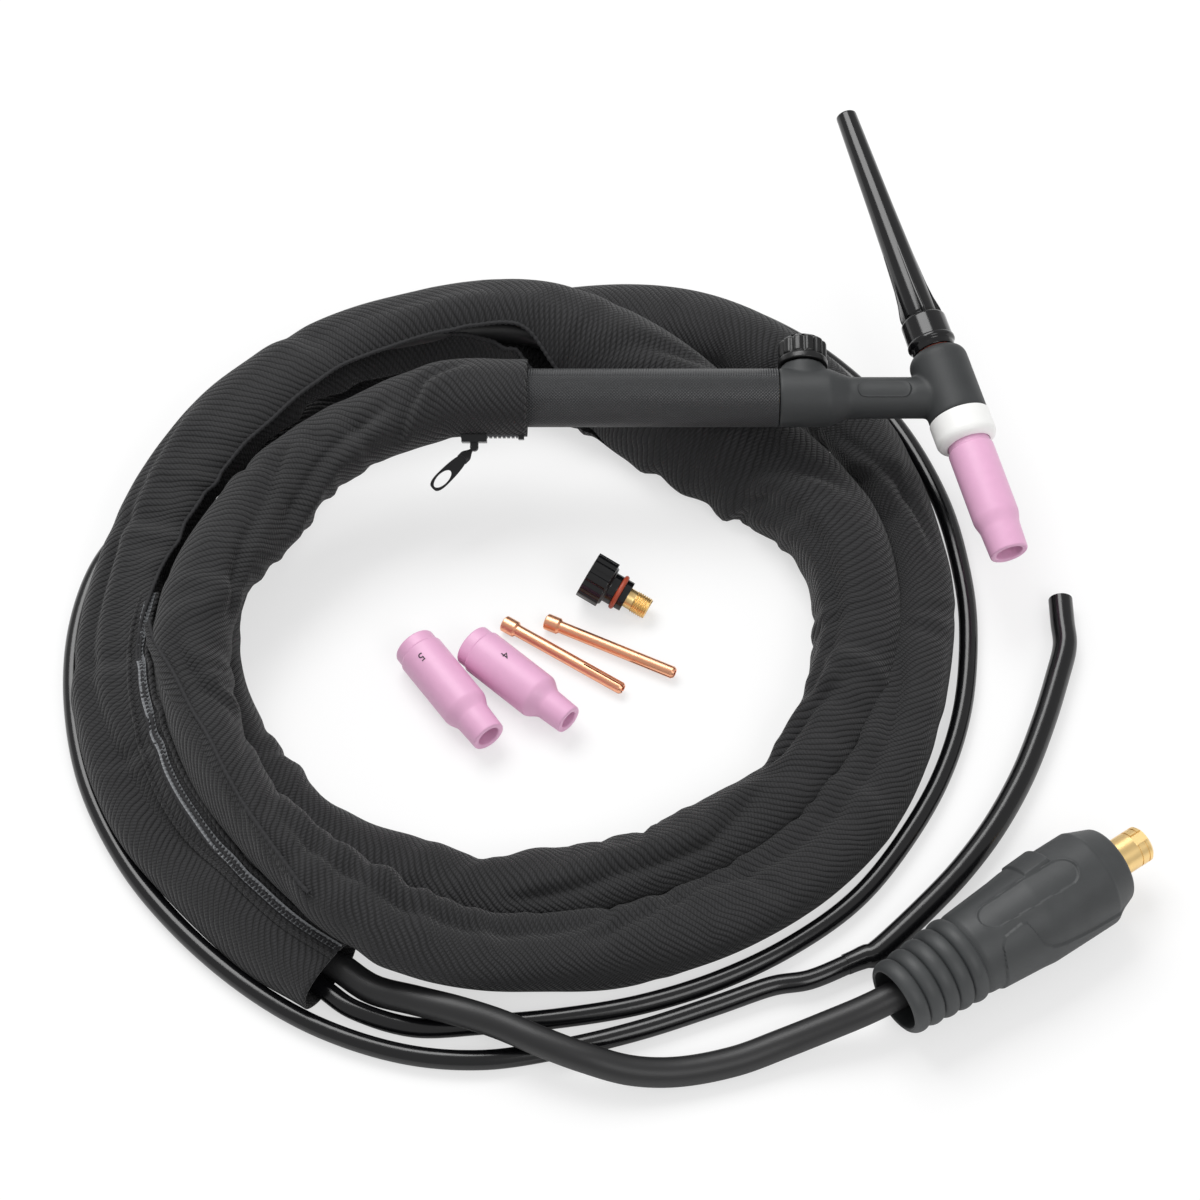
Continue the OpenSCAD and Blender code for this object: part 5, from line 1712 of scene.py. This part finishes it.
@dataclass
class Plug:
    """Bayonet plug: a ribbed rubber boot on a brass pin."""

    length: float = 91.0
    body_r: float = 17.0
    rib_rear_r: float = 13.0
    rib_front_r: float = 15.5
    ribs: int = 5
    rib_pitch: float = 5.7
    rib_depth: float = 1.8
    bore_r: float = 10.6
    # heights of the raised grip, the raised tab, the sunk label and the label's rim
    relief_mm: tuple[float, float, float, float] = (0.75, 1.3, 0.4, 0.15)
    # the label: its middle as height and angle, half its straight part and its half width
    label_z: float = 54.2
    label_angle: float = 176
    label_half: tuple[float, float] = (13.8, 5.0)
    # border of the raised grip: height along the plug and angle round it
    grip: Points = (
        (34, 300), (35.2, 240), (36.5, 216), (39, 207), (46, 204), (47.6, 207), (48.6, 220),
        (49.7, 238), (53, 250), (58.5, 256), (70, 263), (80, 266),
    )  # fmt: skip

    def frame(self) -> Place:
        """Frame whose z runs along the plug, from the cable to the pin."""
        return place(*PLUG_AT).turned(Axis.Z, PLUG_TURN).turned(Axis.Y, 90)

    def outline(self) -> Array:
        """Outline of the boot.

        Formula: each rib is half an ellipse on a line that widens towards the front.

        Returns:
            Rows of radius and height.
        """
        zone = self.ribs * self.rib_pitch
        z = np.linspace(0, zone, 16 * self.ribs + 1)
        u = 2 * np.mod(z / self.rib_pitch, 1) - 1
        bulge = self.rib_depth * (1 - np.sqrt(np.maximum(0, 1 - 0.98 * u**2)))
        crest = self.rib_rear_r + (self.rib_front_r - self.rib_rear_r) * z / zone
        ribs = np.column_stack([crest - bulge, z])
        r, end = self.body_r, self.length
        front = rounded(
            [
                (self.rib_front_r - 1.6, zone + 0.2), (self.rib_front_r - 0.7, zone + 1.8),
                (r - 0.6, zone + 22), (r, zone + 27), (r, end - 9.5), (r - 0.5, end - 8.5),
                (r - 3.4, end - 0.8), (r - 4.4, end), (6.6, end), (6.6, end - 3),
            ],
            0.9,
        )  # fmt: skip
        front_at = lengths_along(front)
        front = resampled(front, front_at, np.linspace(0, front_at[-1], 230))
        rear = np.array([(self.bore_r, 40.0), (self.bore_r, 0.4), (self.bore_r + 0.4, 0.0)])
        return np.vstack([rear, ribs, front])

    def relief(self, a: Array, z: Array, r: Array) -> Array:
        """Raised grip, raised tab and a bare sunk label on the boot's body.

        Formula: each is a height times smooth steps of the distance from its border.

        Args:
            a: angle round the plug, in radians.
            z: height along it.
            r: radius there.

        Returns:
            The relief, outwards.
        """
        turn = np.degrees(a)
        on_body = (r > self.body_r - 3.2) * step_up(z, 31, 33)
        keys = np.array(self.grip)
        border = np.interp(z, keys[:, 0], keys[:, 1])
        grip = step_up(turn - border, -1.5, 1.5) * (1 - step_up(turn, 318, 322))
        grip = grip * step_up(z, 34.4, 35.4) * (1 - step_up(z, 80, 86))
        tab = step_up(z, 57.2, 57.9) * (1 - step_up(z, 67.2, 68.4))
        tab = tab * step_up(turn, 104, 106) * (1 - step_up(turn, 158, 160))
        tab = tab * (0.55 + 0.45 * (z - 57) / 11)
        straight, wide = self.label_half
        middle = self.label_angle + 0.15 * (z - 40)
        across = np.radians(turn - middle) * self.body_r
        away = np.hypot(across, np.maximum(0, np.abs(z - self.label_z) - straight))
        label = 1 - step_up(away, wide, wide + 0.5)
        rim = bell(away - (wide + 0.7), 0.35)
        by_grip, by_tab, by_label, by_rim = self.relief_mm
        return on_body * (by_grip * grip + by_tab * tab - by_label * label + by_rim * rim)

    def build(self) -> None:
        """Makes the boot and dresses the pin."""
        grid, uv = lathe(self.outline(), 288, self.relief)
        piece = piece_from_grid("plug_boot_moulded", self.frame().out(grid), uv)
        stand_for(piece, ["plug_boot"], Finishes.plug_rubber)
        axis = self.frame().axes[:, 2]
        dress(bpy.data.objects["plug_pin"], Finishes.brass(axis))
        dress(bpy.data.objects["plug_screws"], Finishes.steel)
        dress(bpy.data.objects["plug_ferrule"], Finishes.copper(axis))


@dataclass
class Spares:
    """Spare nozzles, collets and the short cap, laid out on the ground."""

    lift: float = 8.4
    # the short cap lies on its knob and its thread: their diameters, the neck's length, and the
    # way on from there to where the knob meets the ground
    knob_d: float = 17.3
    thread_d: float = 8.1
    neck: float = 4.8
    knob_reach: float = 11.2
    cap_turn: float = 153.6
    pitch: float = 0.85
    thread_depth: float = 0.42

    def lying(self, x: float, y: float, z: float, turn: float) -> Place:
        """Frame at a point whose z lies level in the direction turn."""
        return place(x, y, z).turned(Axis.Z, turn).turned(Axis.Y, 90)

    def build(self) -> None:
        """Makes the nozzles and dresses the collets and the short cap."""
        five = self.lying(-49.8, -28.2, self.lift, -54.5)
        four = self.lying(-29.4, -27.8, self.lift, -42.5)
        Nozzle(five, "spare_nozzle_5", 8.0, "5", 10.0, 202).build()
        Nozzle(four, "spare_nozzle_4", 6.4, "4", 15.7, 174).build()
        nodes = bpy.data.objects
        for name, turn in (("spare_collet_left", 146.3), ("spare_collet_right", 154.0)):
            dress(nodes[name], Finishes.copper(self.lying(0, 0, 0, turn).axes[:, 2]))
        knob = softened("short_cap_knob", 0.16, 3)
        stand_for(knob, ["short_cap_knob"], Finishes.phenolic)
        dress(nodes["short_cap_o_ring"], Finishes.silicone)
        self.insert()

    def insert(self) -> None:
        """Threaded brass insert of the short cap.

        Formula: the thread's depth is a cosine of the height over the pitch less the angle.
        """
        rise = (self.knob_d - self.thread_d) / 2
        lean = float(np.degrees(np.arctan(rise / (self.neck + self.knob_reach))))
        tilt = np.radians(lean)
        high = self.knob_d / 2 * np.cos(tilt) + 9 * np.sin(tilt) + 0.15
        at = place(11.7, 0.8, high).turned(Axis.Z, self.cap_turn).turned(Axis.Y, 90 - lean)
        at = at.moved((0, 0, -self.neck - 9))
        z = np.linspace(-11.2, -5.2, 130)
        bore = [(1.6, 5.9), (1.6, -10.9), (1.9, -11.2), (3.65, -11.2)]
        rear = [(3.65, -5.1), (3.65, 5.9), (1.6, 5.9)]
        outline = np.vstack([bore, np.column_stack([0 * z + 4.05, z]), rear])

        def thread(a: Array, z: Array, r: Array) -> Array:
            """Depth of the thread, which runs out at both ends.

            Args:
                a: angle round the axis, in radians.
                z: height along it.
                r: radius there; only the thread's own surface is cut.

            Returns:
                The change of the radius.
            """
            ends = step_up(z, -11.3, -10.4) * (1 - step_up(z, -5.5, -5.0))
            wave = 0.5 + 0.5 * np.cos(TAU * z / self.pitch - a)
            return (r > 4) * self.thread_depth * (ends * wave - 1)

        grid, uv = lathe(outline, 96, thread)
        piece = piece_from_grid("short_cap_thread", at.out(grid), uv, flip=True)
        stand_for(piece, ["short_cap_insert"], Finishes.brass(at.axes[:, 2]))


@dataclass
class Zipper:
    """The zipper's end at the cuff: teeth, stop, slider and pull tab."""

    at: tuple[float, float, float] = (-29.0, 42.289, 39.011)
    lean: float = 123.098
    hinge_z: float = 4.75
    pull_angle: float = 45.0
    pull_l: float = 21.0
    pull_w: float = 5.5
    pull_t: float = 1.2
    # the oval hole: half its length and width, and its middle's distance from the plate's arc
    hole: tuple[float, float] = (3.9, 1.85)
    hole_back: float = 2.2
    bevel: float = 0.12

    def pull(self) -> None:
        """Pull tab: an eye on the slider's bridge, a flat neck, and a plate with an oval hole.

        Formula: the plate lies between two ovals on one set of angles; the neck's section goes
        from one ellipse to another.
        """
        hinge = place(*self.at).turned(Axis.X, self.lean).moved((0, 0, self.hinge_z))
        at = hinge.turned(Axis.Y, 180 + self.pull_angle)
        half, end = self.pull_w / 2, self.pull_l - self.pull_w / 2
        a = np.linspace(0, TAU, 65)
        c, s = np.cos(a), np.sin(a)
        hub = end - self.hole_back
        hole = np.stack([hub + self.hole[0] * c, self.hole[1] * s], axis=-1)
        reach = np.where(c > 0, end - hub + half, hub - 5.0)
        wide = half * np.sign(s) * np.abs(s) ** 0.55
        outer = np.stack([hub + reach * c, wide], axis=-1)
        rows = []
        order = (outer, 0.35), (outer, 0.6), (hole, 0.6), (hole, -0.6), (outer, -0.6), (outer, 0.35)
        for line, y in order:
            inset = self.bevel if abs(y) > 0.5 else 0.0
            way = -1 if line is hole else 1
            flat = line + inset * unit(np.array([hub, 0.0]) - line) * way
            rows.append(np.stack([flat[:, 0], 0 * a + y * self.pull_t, flat[:, 1]], axis=-1))
        plate = np.stack(rows)
        x = np.linspace(1.0, 6.5, 12)
        share = step_up(x, 1.2, 4.6)[:, None]
        wide, tall = 1.5 - 0.95 * share, 0.62 + 1.5 * share
        neck = stacked(x[:, None], wide * c, tall * s)
        eye = [(0.9, -1.55), (1.5, -1.55), (1.5, 1.55), (0.9, 1.55), (0.9, -1.55)]
        ring, ring_uv = lathe(rounded(eye, 0.2), 40)
        ring = at.turned(Axis.X, 90).out(ring)
        parts = [(at.out(plate), plate[..., ::2]), (at.out(neck), neck[..., :2]), (ring, ring_uv)]
        piece = piece_from_grids("zip_pull_tab", parts)
        stand_for(piece, ["zip_pull"], Finishes.zinc)

    def build(self) -> None:
        """Makes the pull and dresses the zipper's CAD nodes."""
        self.pull()
        dress(bpy.data.objects["zip_teeth"], Finishes.nylon)
        for name in ("zip_stop", "zip_slider"):
            dress(bpy.data.objects[name], Finishes.zinc)


def main() -> None:
    """Builds every part of the scene in order."""
    logging.basicConfig(level=logging.INFO, format="%(name)s: %(message)s", stream=sys.stdout)
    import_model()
    for part in (Studio(), Cords(), Sleeve(), Torch(), Plug(), Spares(), Zipper()):
        part.build()


if __name__ == "__main__":
    main()
